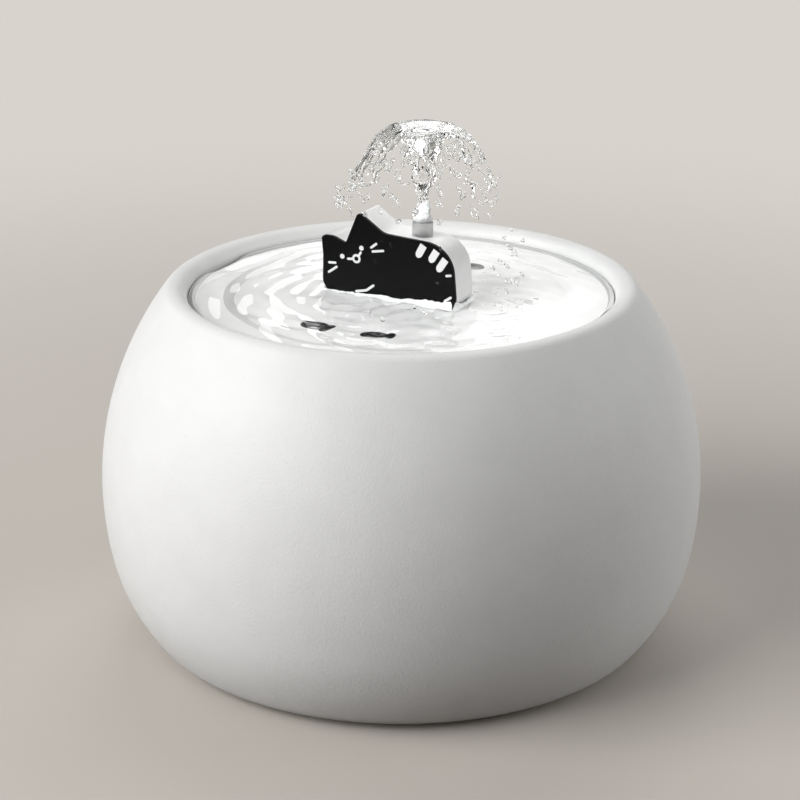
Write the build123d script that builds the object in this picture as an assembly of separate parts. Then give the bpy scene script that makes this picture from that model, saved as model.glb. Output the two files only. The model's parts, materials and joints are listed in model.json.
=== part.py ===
from build123d import *

import os
from math import acos, cos, degrees, radians, sin

# Pet water fountain: a round bowl with a drinking tray in its mouth. A pump on the bowl's floor
# pushes water up a riser and out of a nozzle in the back of a cat-shaped cover. The water falls
# back on the tray and drains through fish-shaped holes into a filter basket hung below it.
# Millimetres. +Z is up, the origin is the centre of the underside, and the cat's face looks to -Y.

# ---------------------------------------------------------------- bowl
BELLY_R = 110.0  # widest radius
BOWL_H = 134.0  # table to the crest of the lip
FOOT_INSET = 26.5  # widest radius to the edge of the flat foot
BOWL_WALL = 4.5
PAD_STAND = 1.0  # gap that the foot pads leave under the foot
CORNER_R = 13.4  # arc between the foot and the belly
CORNER_TURN = 51.65  # direction of the wall at the end of that arc, degrees from horizontal
LOWER_TURN = 78.0  # direction where the lower belly arc meets the upper one
UPPER_TURN = 127.5  # direction where the upper belly arc meets the lip
LIP_R = 4.66  # half-round lip
LEDGE_W = 4.4  # width of the ledge that carries the tray
LEDGE_T = 4.0
UNDERCUT_H = 5.0  # height of the slope under the ledge

PAD_R = 8.0
PAD_T = 2.5
PAD_INSET = 17.5  # edge of the foot to the middle of a pad
PAD_COUNT = 4
PAD_FIT = 0.1  # radial play of a pad in its recess

CORD_HOLE_R = 5.0
CORD_HOLE_RISE = 21.0  # elevation of the hole about the belly arc's centre, degrees
CORD_R = 1.75
GROMMET_FLANGE = 2.2
GROMMET_FLANGE_T = 1.6
GROMMET_FIT = 0.3

# ---------------------------------------------------------------- tray
TRAY_DROP = 4.2  # lip crest down to the top of the tray's rim
TRAY_GAP = 0.3  # radial gap between the tray and its seat
RIM_H = 4.8
RIM_T = 2.2
BEAD_W = 1.6
BEAD_H = 0.8
FLANGE_W = 12.5  # shallow shelf inside the rim
FLANGE_FALL = 0.4
DISH_DEPTH = 3.5
DISH_SLOPE_W = 4.0
TRAY_T = 2.2
NOTCH_DEPTH = 2.6  # straight finger notches at both ends of the X axis

DRAIN_INSET = 12.0  # inside of the hanger ring to the middle of the drains
DRAIN_ANGLES = (-102, -72, 84, 114)
FISH_L = 11.6  # nose to tail
FISH_BODY_L = 8.4
FISH_BODY_W = 6.2
FISH_TAIL_W = 6.0
FISH_TAIL_ROOT = 6.7  # nose to the root of the tail
FISH_TAIL_NOTCH = 1.4

SLEEVE_L = 13.0  # socket under the tray that slides over the riser
SLEEVE_T = 1.8
PIN_R = 2.0
PIN_H = 2.6
PIN_X = -14.0
PIN_FIT = 0.3

# ---------------------------------------------------------------- water way
NOZZLE_X = 8.6  # riser, sleeve and nozzle share this upright axis
NOZZLE_R = 3.7
NOZZLE_BORE_R = 2.6
NOZZLE_STAND = 5.8  # above the cat's back
NOZZLE_LIP = 0.5
RISER_R = 5.5
RISER_BORE_R = 4.0
RISER_END_GAP = 0.5
SEAL_R = 0.7  # section radius of the riser's O-ring
SEAL_GROOVE = 0.9
SEAL_DROP = 3.2  # ring centre below the riser's top
RUNNING_FIT = 0.05

# ---------------------------------------------------------------- cat cover
CAT_T = 14.4  # along Y
CAT_WALL = 1.7
CAT_LEFT = -28.8
CAT_RIGHT = 25.4
LEFT_FOOT_IN = 4.2  # foot of the left side, inwards from the left end
CHEEK = (0.3, 5.5)  # inwards from the left end, and height above the tray's floor
WAIST = (0.6, 15.5)
LEFT_EAR_H = 22.9
LEFT_EAR_TOP = (4.6, 23.2)
EAR_DIP = (9.9, 21.1)  # between the ears
EAR_TIP = (15.1, 33.4)
NECK = (25.2, 26.7)
RUMP_IN = 1.6  # inwards from the right end
CAT_BACK_H = 25.3
HIP_H = 6.0
RIGHT_FOOT_IN = 1.4
FOOT_ROUND = 3.0  # corner radii of the side view
CHEEK_ROUND = 4.0
WAIST_ROUND = 10.0
EAR_ROUND = 1.4
EAR_TOP_ROUND = 6.0
DIP_ROUND = 1.0
NECK_ROUND = 7.0
RUMP_ROUND = 11.5
HIP_ROUND = 5.0

MUZZLE = (14.3, 15.9)  # centre of the muzzle ring, from the left end and above the floor
MUZZLE_R = 1.75
MUZZLE_IN_R = 0.8
EYE_R = 0.95
EYES = ((-5.8, 0.1), (2.1, 4.2))  # from the muzzle, like the two lists of lines below
LINE_W = 0.95
MOUTH_LINES = (((-3.4, -0.5), (-1.7, -0.3)), ((1.0, 1.3), (1.8, 2.5)))
WHISKERS = (
    ((-11.2, -2.9), (-8.7, -2.7)),
    ((-11.4, -6.5), (-8.2, -4.2)),
    ((6.1, 5.0), (8.1, 6.6)),
    ((6.7, 3.6), (10.9, 4.4)),
)
STRIPE_W = 2.8
STRIPE_END_H = 1.9  # depth of the round end of a stripe
STRIPES = (  # top and bottom end, from the right end and above the floor
    ((-12.7, 24.6), (-15.3, 19.8)),
    ((-7.5, 23.2), (-10.2, 18.7)),
    ((-4.0, 20.6), (-7.2, 15.7)),
)
FLANK_LINES = (((-3.6, 14.6), (-2.0, 14.9)), ((-4.2, 5.2), (-1.9, 6.8)))
PAW_LINES = (((14.2, 3.7), (18.3, 4.6)), ((18.3, 4.6), (21.2, 6.8)))  # from the left end
PLATE_T = 1.2
CAT_EDGE_R = 1.0
MARK_FIT = 0.04
MOUTH_IN = 3.2  # corner of the side view to the opening below
COLLAR_L = 4.5
COLLAR_FIT = 0.25
BASE_T = 2.0
BASE_FIT = 0.1
BASE_TUBE_T = 1.6
BASE_TUBE_H = 8.0

# ---------------------------------------------------------------- filter
HANGER_INSET = 0.7  # edge of the tray's flat floor to the hanger ring
HANGER_T = 2.4
HANGER_DROP = 15.0  # tray underside to the ring's lower edge
BASKET_FIT = 0.4
BASKET_WALL = 2.4
BASKET_FLOOR_T = 2.0
BASKET_HOLE_SHARE = 0.423  # of the basket's radius, left open for the riser's socket
LUG_COUNT = 3
LUG_SWEEP = 10.0
LUG_H = 3.0
LUG_REACH = 1.8
LUG_LIFT = 3.6  # ring's lower edge up to the underside of a lug
LUG_PLAY = 0.3
LUG_TURN = 20.0  # turn from the locked place to the way out
LID_T = 1.6
LID_GAP = 0.4
LID_STEP = 1.2
COTTON_T = 3.0
CARBON_T = 5.0
RESIN_T = 4.0
SLOT_W = 2.0
SLOT_COUNT = 24
SLOT_TURN = 3.75  # first slot from the X axis, degrees
SLOT_RIB = 3.0

# ---------------------------------------------------------------- pump
CUP_H = 6.0
CUP_R = 7.0
CUP_NECK_R = 2.6
CUP_STEM_R = 2.0
CUP_FIT = 0.1
PLINTH_T = 3.0
PLINTH_MARGIN = 3.0
MOTOR_W = 38.0
MOTOR_H = 34.0
MOTOR_L = 30.0
MOTOR_EDGE_R = 6.0
VOLUTE_R = 17.0
VOLUTE_HALF = 6.0
CHAMBER_R = 13.5
OUTLET_SHIFT = 6.5  # outlet axis to rotor axis
SPIGOT_BORE_R = 2.8
SPIGOT_L = 10.0
SHOULDER_R = 7.0
SHOULDER_H = 2.0
WELL_R = 9.0
WELL_L = 20.0
MAGNET_R = 8.0
CORE_R = 3.2
IMPELLER_R = 12.4
BLADE_COUNT = 6
BLADE_T = 1.2
BLADE_H = 6.5
BLADE_PLATE_T = 1.4
AXIAL_PLAY = 0.5
SHAFT_R = 1.0
BUSH_R = 2.4
BUSH_L = 3.0
COVER_T = 2.4
INTAKE_R = 6.6
SPIDER_R = 3.4
SPIDER_W = 1.4
STRAINER_L = 9.0
STRAINER_T = 1.6
PORT_COUNT = 12
PORT_SWEEP = 13.0
PORT_IN_R = 6.0
PORT_OUT_R = 13.0
SHUTTER_T = 1.2
SHUTTER_GAP = 0.3
KNOB_R = 5.0
KNOB_T = 1.8
KNOB_BAR = (8.6, 1.8, 2.2)
KNOB_AXLE_R = 1.6
GLAND_R = 4.2
GLAND_L = 6.0
GLAND_STUB_R = 3.0
GLAND_STUB_L = 3.6
GLAND_RISE = 9.0

# ---------------------------------------------------------------- worked out from those
FOOT_R = BELLY_R - FOOT_INSET
PAD_CIRCLE_R = FOOT_R - PAD_INSET

lower_share = sin(radians(LOWER_TURN)) - sin(radians(CORNER_TURN))
lower_rise = cos(radians(CORNER_TURN)) - cos(radians(LOWER_TURN))
upper_share = 1 - sin(radians(LOWER_TURN))
upper_rise = cos(radians(LOWER_TURN)) - cos(radians(UPPER_TURN))
reach = BELLY_R - FOOT_R - CORNER_R * sin(radians(CORNER_TURN))
corner_rise = CORNER_R * (1 - cos(radians(CORNER_TURN)))
lip_rise = LIP_R * (1 + cos(radians(UPPER_TURN)))
rise = BOWL_H - PAD_STAND - corner_rise - lip_rise
divisor = lower_share * upper_rise - upper_share * lower_rise
LOWER_R = (reach * upper_rise - upper_share * rise) / divisor
UPPER_R = (lower_share * rise - reach * lower_rise) / divisor
BELLY_Z = BOWL_H - lip_rise + UPPER_R * cos(radians(UPPER_TURN))
ARC_CENTRE_R = BELLY_R - UPPER_R
LIP_CENTRE_R = ARC_CENTRE_R + (UPPER_R - LIP_R) * sin(radians(UPPER_TURN))

SEAT_R = LIP_CENTRE_R - LIP_R
THROAT_R = SEAT_R - LEDGE_W
RIM_TOP_Z = BOWL_H - TRAY_DROP
LEDGE_Z = RIM_TOP_Z - RIM_H
BOWL_FLOOR_Z = PAD_STAND + BOWL_WALL

TRAY_R = SEAT_R - TRAY_GAP
FLANGE_Z = RIM_TOP_Z - BEAD_H
FLANGE_IN_R = TRAY_R - FLANGE_W
FLOOR_R = FLANGE_IN_R - DISH_SLOPE_W
FLOOR_Z = RIM_TOP_Z - DISH_DEPTH
TRAY_UNDER_Z = FLOOR_Z - TRAY_T

SLEEVE_BORE_R = RISER_R - SEAL_GROOVE + 2 * SEAL_R + RUNNING_FIT
SLEEVE_R = SLEEVE_BORE_R + SLEEVE_T
COLLAR_BOTTOM_Z = FLOOR_Z - COLLAR_L
RISER_TOP_Z = COLLAR_BOTTOM_Z - RISER_END_GAP
NOZZLE_TOP_Z = FLOOR_Z + CAT_BACK_H + NOZZLE_STAND
CAT_FRONT_Y = -CAT_T / 2
PLATE_BACK_Y = CAT_FRONT_Y + PLATE_T

HANGER_R = FLOOR_R - HANGER_INSET - HANGER_T
HANGER_Z = TRAY_UNDER_Z - HANGER_DROP
DRAIN_CIRCLE_R = HANGER_R - DRAIN_INSET
BASKET_R = HANGER_R - BASKET_FIT
BASKET_BORE_R = BASKET_R - BASKET_WALL
BASKET_HOLE_R = BASKET_HOLE_SHARE * BASKET_R
BASKET_HUB_R = BASKET_HOLE_R + BASKET_WALL
LUG_Z = HANGER_Z + LUG_LIFT
LID_TOP_Z = TRAY_UNDER_Z - LID_GAP
COTTON_TOP_Z = LID_TOP_Z - LID_T
CARBON_TOP_Z = COTTON_TOP_Z - COTTON_T
RESIN_TOP_Z = CARBON_TOP_Z - CARBON_T
BASKET_FLOOR_Z = RESIN_TOP_Z - RESIN_T

PLINTH_Z = BOWL_FLOOR_Z + CUP_H
MOTOR_Z = PLINTH_Z + PLINTH_T
ROTOR_Z = MOTOR_Z + VOLUTE_R
ROTOR_X = NOZZLE_X - OUTLET_SHIFT
PUMP_TOP_Z = MOTOR_Z + MOTOR_H
RISER_FOOT_Z = PUMP_TOP_Z + SHOULDER_H
SPIGOT_R = RISER_BORE_R - RUNNING_FIT
MAGNET_L = WELL_L - 2 * AXIAL_PLAY
WELL_END = VOLUTE_HALF + WELL_L
STRAINER_FRONT = -VOLUTE_HALF - COVER_T - STRAINER_L

# The pump's turned parts are drawn along their own axis, which runs along +Y from the mid-plane
# of the impeller chamber.
PUMP = Plane(origin=(ROTOR_X, 0, ROTOR_Z), x_dir=(1, 0, 0), z_dir=(0, 1, 0))


# ---------------------------------------------------------------- shapes used again and again
def rod(radius, low, high):
    """Solid cylinder on the Z axis between two heights."""
    return Pos(0, 0, low) * Cylinder(radius, high - low, align=(Align.CENTER, Align.CENTER, Align.MIN))


def ring(r_out, r_in, low, high):
    """Round ring on the Z axis between two heights."""
    return rod(r_out, low, high) - rod(r_in, low, high)


def block(x_span, y_span, z_span):
    """Box between two values on each axis."""
    corner = Pos(x_span[0], y_span[0], z_span[0])
    sizes = [span[1] - span[0] for span in (x_span, y_span, z_span)]
    return corner * Box(*sizes, align=(Align.MIN, Align.MIN, Align.MIN))


def lathe(edges):
    """Solid of revolution about Z from edges drawn as (radius, height)."""
    return revolve(Plane.XZ * make_face(edges), Axis.Z)


def sector(r_in, r_out, low, high, start, sweep):
    """Part of a ring, from the angle start and over sweep degrees."""
    middle = Pos((r_in + r_out) / 2, (low + high) / 2)
    face = Plane.XZ * (middle * Rectangle(r_out - r_in, high - low))
    return Rot(0, 0, start) * revolve(face, Axis.Z, revolution_arc=sweep)


def around(shape, count):
    """Copies of a shape at even steps about the Z axis."""
    return [Rot(0, 0, 360 * i / count) * shape for i in range(count)]


# ---------------------------------------------------------------- bowl and what stays in it
def wall_arcs(inset, end_turn):
    """The three tangent arcs of the bowl's wall, moved inwards by inset."""
    corner = JernArc((FOOT_R, PAD_STAND + inset), (1, 0), CORNER_R - inset, CORNER_TURN)
    lower = JernArc(corner @ 1, corner % 1, LOWER_R - inset, LOWER_TURN - CORNER_TURN)
    upper = JernArc(lower @ 1, lower % 1, UPPER_R - inset, end_turn - LOWER_TURN)
    return [corner, lower, upper]


def wall_point(depth):
    """Place and outward direction of the cord hole, a depth inside the bowl's outer skin."""
    tilt = radians(CORD_HOLE_RISE)
    radius = ARC_CENTRE_R + (UPPER_R - depth) * cos(tilt)
    height = BELLY_Z + (UPPER_R - depth) * sin(tilt)
    return Plane(origin=(0, radius, height), x_dir=(1, 0, 0), z_dir=(0, cos(tilt), sin(tilt)))


def bowl():
    """Thick round bowl: half-round lip, ledge for the tray, pad recesses and a cord hole at the back."""
    outer = wall_arcs(0, UPPER_TURN)
    lip = JernArc(outer[-1] @ 1, outer[-1] % 1, LIP_R, 270 - UPPER_TURN)
    throat_low = LEDGE_Z - LEDGE_T
    inner_turn = degrees(acos((BELLY_Z - (throat_low - UNDERCUT_H)) / (UPPER_R - BOWL_WALL)))
    inner = wall_arcs(BOWL_WALL, inner_turn)
    mouth = Polyline(lip @ 1, (SEAT_R, LEDGE_Z), (THROAT_R, LEDGE_Z), (THROAT_R, throat_low), inner[-1] @ 1)
    floor = Polyline(inner[0] @ 0, (0, BOWL_FLOOR_Z), (0, PAD_STAND), outer[0] @ 0)
    body = lathe([*outer, lip, *mouth.edges(), *inner, *floor.edges()])
    body -= around(Pos(PAD_CIRCLE_R, 0) * rod(PAD_R + PAD_FIT, 0, PAD_T), PAD_COUNT)
    return body - wall_point(BOWL_WALL / 2) * Cylinder(CORD_HOLE_R, 3 * BOWL_WALL)


def foot_pads():
    """Rubber pads that stand out of their recesses by the foot's gap."""
    pad = Pos(PAD_CIRCLE_R, 0) * rod(PAD_R, 0, PAD_T)
    pad = chamfer(pad.edges().group_by(Axis.Z)[0], PAD_STAND / 3)
    return around(pad, PAD_COUNT)


def cord_grommet():
    """Rubber grommet with a flange on each side of the bowl's wall, bored for the pump's lead."""
    half = BOWL_WALL / 2 + GROMMET_FIT
    flange_r = CORD_HOLE_R + GROMMET_FLANGE
    body = rod(CORD_HOLE_R - RUNNING_FIT, -half, half)
    body += rod(flange_r, half, half + GROMMET_FLANGE_T) + rod(flange_r, -half - GROMMET_FLANGE_T, -half)
    body = chamfer(body.edges().group_by(Axis.Z)[-1], GROMMET_FLANGE_T / 3)
    return wall_point(BOWL_WALL / 2) * (body - Cylinder(CORD_R, 4 * BOWL_WALL))


# ---------------------------------------------------------------- tray
def fish():
    """Fish-shaped hole: a long round body and a forked tail. The nose points to +X."""
    nose = FISH_L / 2
    body = Pos(nose - FISH_BODY_L / 2, 0) * Ellipse(FISH_BODY_L / 2, FISH_BODY_W / 2)
    root = nose - FISH_TAIL_ROOT
    tail = [(root, 0), (-nose, FISH_TAIL_W / 2), (-nose + FISH_TAIL_NOTCH, 0), (-nose, -FISH_TAIL_W / 2)]
    return body + make_face(Polyline(*tail, close=True))


def tray():
    """Shallow drinking tray: rim and shelf, dish, fish drains and the riser's socket."""
    skirt_r = TRAY_R - RIM_T
    flange_low = FLANGE_Z - FLANGE_FALL
    top = [
        (TRAY_R, RIM_TOP_Z),
        (TRAY_R - BEAD_W, RIM_TOP_Z),
        (TRAY_R - BEAD_W - BEAD_H, FLANGE_Z),
        (FLANGE_IN_R, flange_low),
        (FLOOR_R, FLOOR_Z),
        (0, FLOOR_Z),
    ]
    under = [
        (0, TRAY_UNDER_Z),
        (FLOOR_R, TRAY_UNDER_Z),
        (FLANGE_IN_R, flange_low - TRAY_T),
        (skirt_r, FLANGE_Z - TRAY_T),
        (skirt_r, LEDGE_Z),
        (TRAY_R, LEDGE_Z),
    ]
    body = lathe(Polyline(*top, *under, close=True).edges())
    body = fillet(body.edges().filter_by(GeomType.CIRCLE).group_by(Axis.Z)[-1], BEAD_H / 2)
    nozzle_axis = Pos(NOZZLE_X, 0)
    body += nozzle_axis * rod(SLEEVE_R, TRAY_UNDER_Z - SLEEVE_L, TRAY_UNDER_Z)
    body -= nozzle_axis * rod(SLEEVE_BORE_R, TRAY_UNDER_Z - SLEEVE_L, FLOOR_Z)
    pin = Pos(PIN_X, 0) * rod(PIN_R, FLOOR_Z, FLOOR_Z + PIN_H)
    body += chamfer(pin.edges().group_by(Axis.Z)[-1], PIN_R / 4)
    return body - drains() - finger_notches()


def drains():
    """The four fish, each swimming clockwise round the tray."""
    hole = Rot(0, 0, -90) * extrude(fish(), TRAY_T)
    lifted = Pos(DRAIN_CIRCLE_R, 0, TRAY_UNDER_Z) * hole
    return [Rot(0, 0, angle) * lifted for angle in DRAIN_ANGLES]


def finger_notches():
    """Straight cuts across the rim that leave room for a fingertip at each end of X."""
    cut = block((TRAY_R - NOTCH_DEPTH, SEAT_R), (-BELLY_R / 2, BELLY_R / 2), (LEDGE_Z, RIM_TOP_Z))
    return around(cut, 2)


def filter_hanger():
    """Ring bonded under the tray's flat floor, with a bayonet for the filter basket."""
    return ring(HANGER_R + HANGER_T, HANGER_R, HANGER_Z, TRAY_UNDER_Z) - bayonet_slots()


def bayonet_slots():
    """L-shaped ways in the hanger ring for the basket's lugs."""
    r_in = HANGER_R - BASKET_FIT
    r_out = HANGER_R + HANGER_T + BASKET_FIT
    play = LUG_PLAY
    wide = LUG_SWEEP + 2 * play
    level = sector(r_in, r_out, LUG_Z - play, LUG_Z + LUG_H + play, -wide / 2, wide + LUG_TURN)
    way_in = sector(r_in, r_out, HANGER_Z, LUG_Z + LUG_H, LUG_TURN - wide / 2, wide)
    return around(level, LUG_COUNT) + around(way_in, LUG_COUNT)


# ---------------------------------------------------------------- cat cover
def cat_outline():
    """Side view of the resting cat, as (along X, height above the tray's floor)."""
    corners = [
        (CAT_LEFT + LEFT_FOOT_IN, 0, FOOT_ROUND),
        (CAT_LEFT + CHEEK[0], CHEEK[1], CHEEK_ROUND),
        (CAT_LEFT + WAIST[0], WAIST[1], WAIST_ROUND),
        (CAT_LEFT, LEFT_EAR_H, EAR_ROUND),
        (CAT_LEFT + LEFT_EAR_TOP[0], LEFT_EAR_TOP[1], EAR_TOP_ROUND),
        (CAT_LEFT + EAR_DIP[0], EAR_DIP[1], DIP_ROUND),
        (CAT_LEFT + EAR_TIP[0], EAR_TIP[1], EAR_ROUND),
        (CAT_LEFT + NECK[0], NECK[1], NECK_ROUND),
        (CAT_RIGHT - RUMP_IN, CAT_BACK_H, RUMP_ROUND),
        (CAT_RIGHT, HIP_H, HIP_ROUND),
        (CAT_RIGHT - RIGHT_FOOT_IN, 0, FOOT_ROUND),
    ]
    points = [(x, height) for x, height, _ in corners]
    radii = [radius for _, _, radius in corners]
    return make_face(FilletPolyline(*points, radius=radii, close=True))


def upright(face, y):
    """A side-view face stood up on the tray's floor at a place along Y."""
    return Plane(origin=(0, y, FLOOR_Z), x_dir=(1, 0, 0), z_dir=(0, -1, 0)) * face


def stroke(start, end, width):
    """Round-ended line between two points of the side view."""
    line = Line(start, end)
    turn = Rot(0, 0, line.tangent_angle_at(0))
    return Location(line @ 0.5) * turn * SlotCenterToCenter(line.length, width)


def stripe(top, bottom, shrink):
    """Coat stripe: square at its top end and half-elliptic at its bottom end."""
    axis = Line(top, bottom)
    half = STRIPE_W / 2 - shrink
    straight = axis.length - STRIPE_END_H
    square = Pos(straight / 2 + shrink / 2, 0) * Rectangle(straight - shrink, 2 * half)
    shape = square + Pos(straight, 0) * Ellipse(STRIPE_END_H - shrink, half)
    return Location(axis @ 0) * Rot(0, 0, axis.tangent_angle_at(0)) * shape


def cat_marks(shrink):
    """Face, whiskers, coat stripes and paw, drawn smaller all round by shrink."""
    thin = LINE_W - 2 * shrink
    face = [Circle(MUZZLE_R - shrink) - Circle(MUZZLE_IN_R + shrink)]
    face += [Pos(*eye) * Circle(EYE_R - shrink) for eye in EYES]
    face += [stroke(*ends, thin) for ends in MOUTH_LINES + WHISKERS]
    flank = [stripe(*ends, shrink) for ends in STRIPES]
    flank += [stroke(*ends, thin) for ends in FLANK_LINES]
    paw = [stroke(*ends, thin) for ends in PAW_LINES]
    muzzle_at = Pos(CAT_LEFT + MUZZLE[0], MUZZLE[1])
    marks = [muzzle_at * mark for mark in face]
    marks += [Pos(CAT_RIGHT, 0) * mark for mark in flank] + [Pos(CAT_LEFT, 0) * mark for mark in paw]
    return Sketch() + marks


def cat_shell():
    """White moulded shell, open below, with low lands that fill the openings of the face plate."""
    depth = CAT_T - PLATE_T
    body = extrude(upright(cat_outline(), PLATE_BACK_Y), depth, dir=(0, 1, 0))
    body = fillet(body.edges().group_by(Axis.Y)[-1], CAT_EDGE_R)
    hollow = offset(cat_outline(), -CAT_WALL)
    body -= extrude(upright(hollow, PLATE_BACK_Y + CAT_WALL), depth - 2 * CAT_WALL, dir=(0, 1, 0))
    body -= cat_mouth(0, FLOOR_Z, FLOOR_Z + 2 * CAT_WALL)
    body -= Pos(NOZZLE_X, 0) * rod(NOZZLE_R + RUNNING_FIT, FLOOR_Z + CAT_BACK_H / 2, NOZZLE_TOP_Z)
    return body + extrude(upright(cat_marks(MARK_FIT), PLATE_BACK_Y), PLATE_T, dir=(0, -1, 0))


def cat_mouth(fit, low, high):
    """The opening under the shell, less a fit on every side."""
    left = CAT_LEFT + LEFT_FOOT_IN + MOUTH_IN + fit
    right = CAT_RIGHT - RIGHT_FOOT_IN - MOUTH_IN - fit
    y_span = (PLATE_BACK_Y + CAT_WALL + fit, CAT_T / 2 - CAT_WALL - fit)
    return block((left, right), y_span, (low, high))


def cat_face_plate():
    """Black plate over the whole front, pierced for the marks."""
    plate = extrude(upright(cat_outline(), CAT_FRONT_Y), PLATE_T, dir=(0, 1, 0))
    return plate - extrude(upright(cat_marks(0), CAT_FRONT_Y), PLATE_T, dir=(0, 1, 0))


def cat_base():
    """Plug that closes the shell and carries the collar and the nozzle's guide tube."""
    body = cat_mouth(BASE_FIT, FLOOR_Z, FLOOR_Z + BASE_T)
    axis = Pos(NOZZLE_X, 0)
    guide_r = NOZZLE_R + RUNNING_FIT
    guide = axis * rod(guide_r + BASE_TUBE_T, FLOOR_Z, FLOOR_Z + BASE_TUBE_H)
    body += guide & cat_mouth(BASE_FIT, FLOOR_Z, FLOOR_Z + BASE_TUBE_H)
    body += axis * rod(SLEEVE_BORE_R - COLLAR_FIT, COLLAR_BOTTOM_Z, FLOOR_Z)
    body -= axis * rod(guide_r, COLLAR_BOTTOM_Z, FLOOR_Z + BASE_TUBE_H)
    return body - Pos(PIN_X, 0) * rod(PIN_R + PIN_FIT, FLOOR_Z, FLOOR_Z + BASE_T)


# ---------------------------------------------------------------- water way
def nozzle_tip():
    """Clear tube from the collar out through the cat's back, with a narrowed mouth."""
    tube = ring(NOZZLE_R, NOZZLE_BORE_R, COLLAR_BOTTOM_Z, NOZZLE_TOP_Z)
    mouth_z = NOZZLE_TOP_Z - 2 * NOZZLE_LIP
    tube += ring(NOZZLE_BORE_R + NOZZLE_LIP, NOZZLE_BORE_R - NOZZLE_LIP, mouth_z, NOZZLE_TOP_Z)
    return Pos(NOZZLE_X, 0) * fillet(tube.edges().group_by(Axis.Z)[-1], NOZZLE_LIP / 2)


def riser_tube():
    """Upright tube from the pump's spigot into the tray's socket, grooved for its seal."""
    groove_z = RISER_TOP_Z - SEAL_DROP
    tube = ring(RISER_R, RISER_BORE_R, RISER_FOOT_Z, RISER_TOP_Z)
    tube -= ring(2 * RISER_R, RISER_R - SEAL_GROOVE, groove_z - SEAL_R, groove_z + SEAL_R)
    return Pos(NOZZLE_X, 0) * tube


def riser_seal():
    """O-ring in the riser's groove."""
    return Pos(NOZZLE_X, 0, RISER_TOP_Z - SEAL_DROP) * Torus(RISER_R - SEAL_GROOVE + SEAL_R, SEAL_R)


# ---------------------------------------------------------------- filter
def slots(low, high):
    """Two circles of radial slots between two heights."""
    middle = (BASKET_HUB_R + BASKET_BORE_R) / 2
    spans = (
        (BASKET_HUB_R + SLOT_RIB, middle - SLOT_RIB / 2),
        (middle + SLOT_RIB / 2, BASKET_BORE_R - SLOT_RIB),
    )
    cuts = [Rot(0, 0, SLOT_TURN) * block(span, (-SLOT_W / 2, SLOT_W / 2), (low, high)) for span in spans]
    return around(cuts[0], SLOT_COUNT) + around(cuts[1], SLOT_COUNT)


def filter_basket():
    """Ring-shaped basket with a slotted floor, an open middle for the riser and three bayonet lugs."""
    low = BASKET_FLOOR_Z - BASKET_FLOOR_T
    body = ring(BASKET_R, BASKET_HOLE_R, low, LID_TOP_Z)
    body -= ring(BASKET_BORE_R, BASKET_HUB_R, BASKET_FLOOR_Z, LID_TOP_Z)
    body -= ring(BASKET_BORE_R + LID_STEP, BASKET_HUB_R - LID_STEP, COTTON_TOP_Z, LID_TOP_Z)
    body -= slots(low, BASKET_FLOOR_Z)
    lug = sector(BASKET_R - BASKET_WALL / 2, BASKET_R + LUG_REACH, LUG_Z, LUG_Z + LUG_H, -LUG_SWEEP / 2, LUG_SWEEP)
    return body + around(lug, LUG_COUNT)


def filter_lid():
    """Slotted lid that drops into the step of the basket."""
    edge = LID_STEP - BASE_FIT
    body = ring(BASKET_BORE_R + edge, BASKET_HUB_R - edge, COTTON_TOP_Z, LID_TOP_Z)
    return body - slots(COTTON_TOP_Z, LID_TOP_Z)


def filter_layer(top, thickness):
    """One ring-shaped layer of the filter, a little free of the basket's walls."""
    return ring(BASKET_BORE_R - BASE_FIT, BASKET_HUB_R + BASE_FIT, top - thickness, top)


# ---------------------------------------------------------------- pump
def cup_places():
    """Centres of the four suction cups."""
    side = MOTOR_W / 2 - PLINTH_MARGIN
    back = VOLUTE_HALF + MOTOR_L - CUP_R + PLINTH_MARGIN
    front = -VOLUTE_HALF - PLINTH_MARGIN
    return [Pos(ROTOR_X + x, y) for x in (-side, side) for y in (front, back)]


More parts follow.
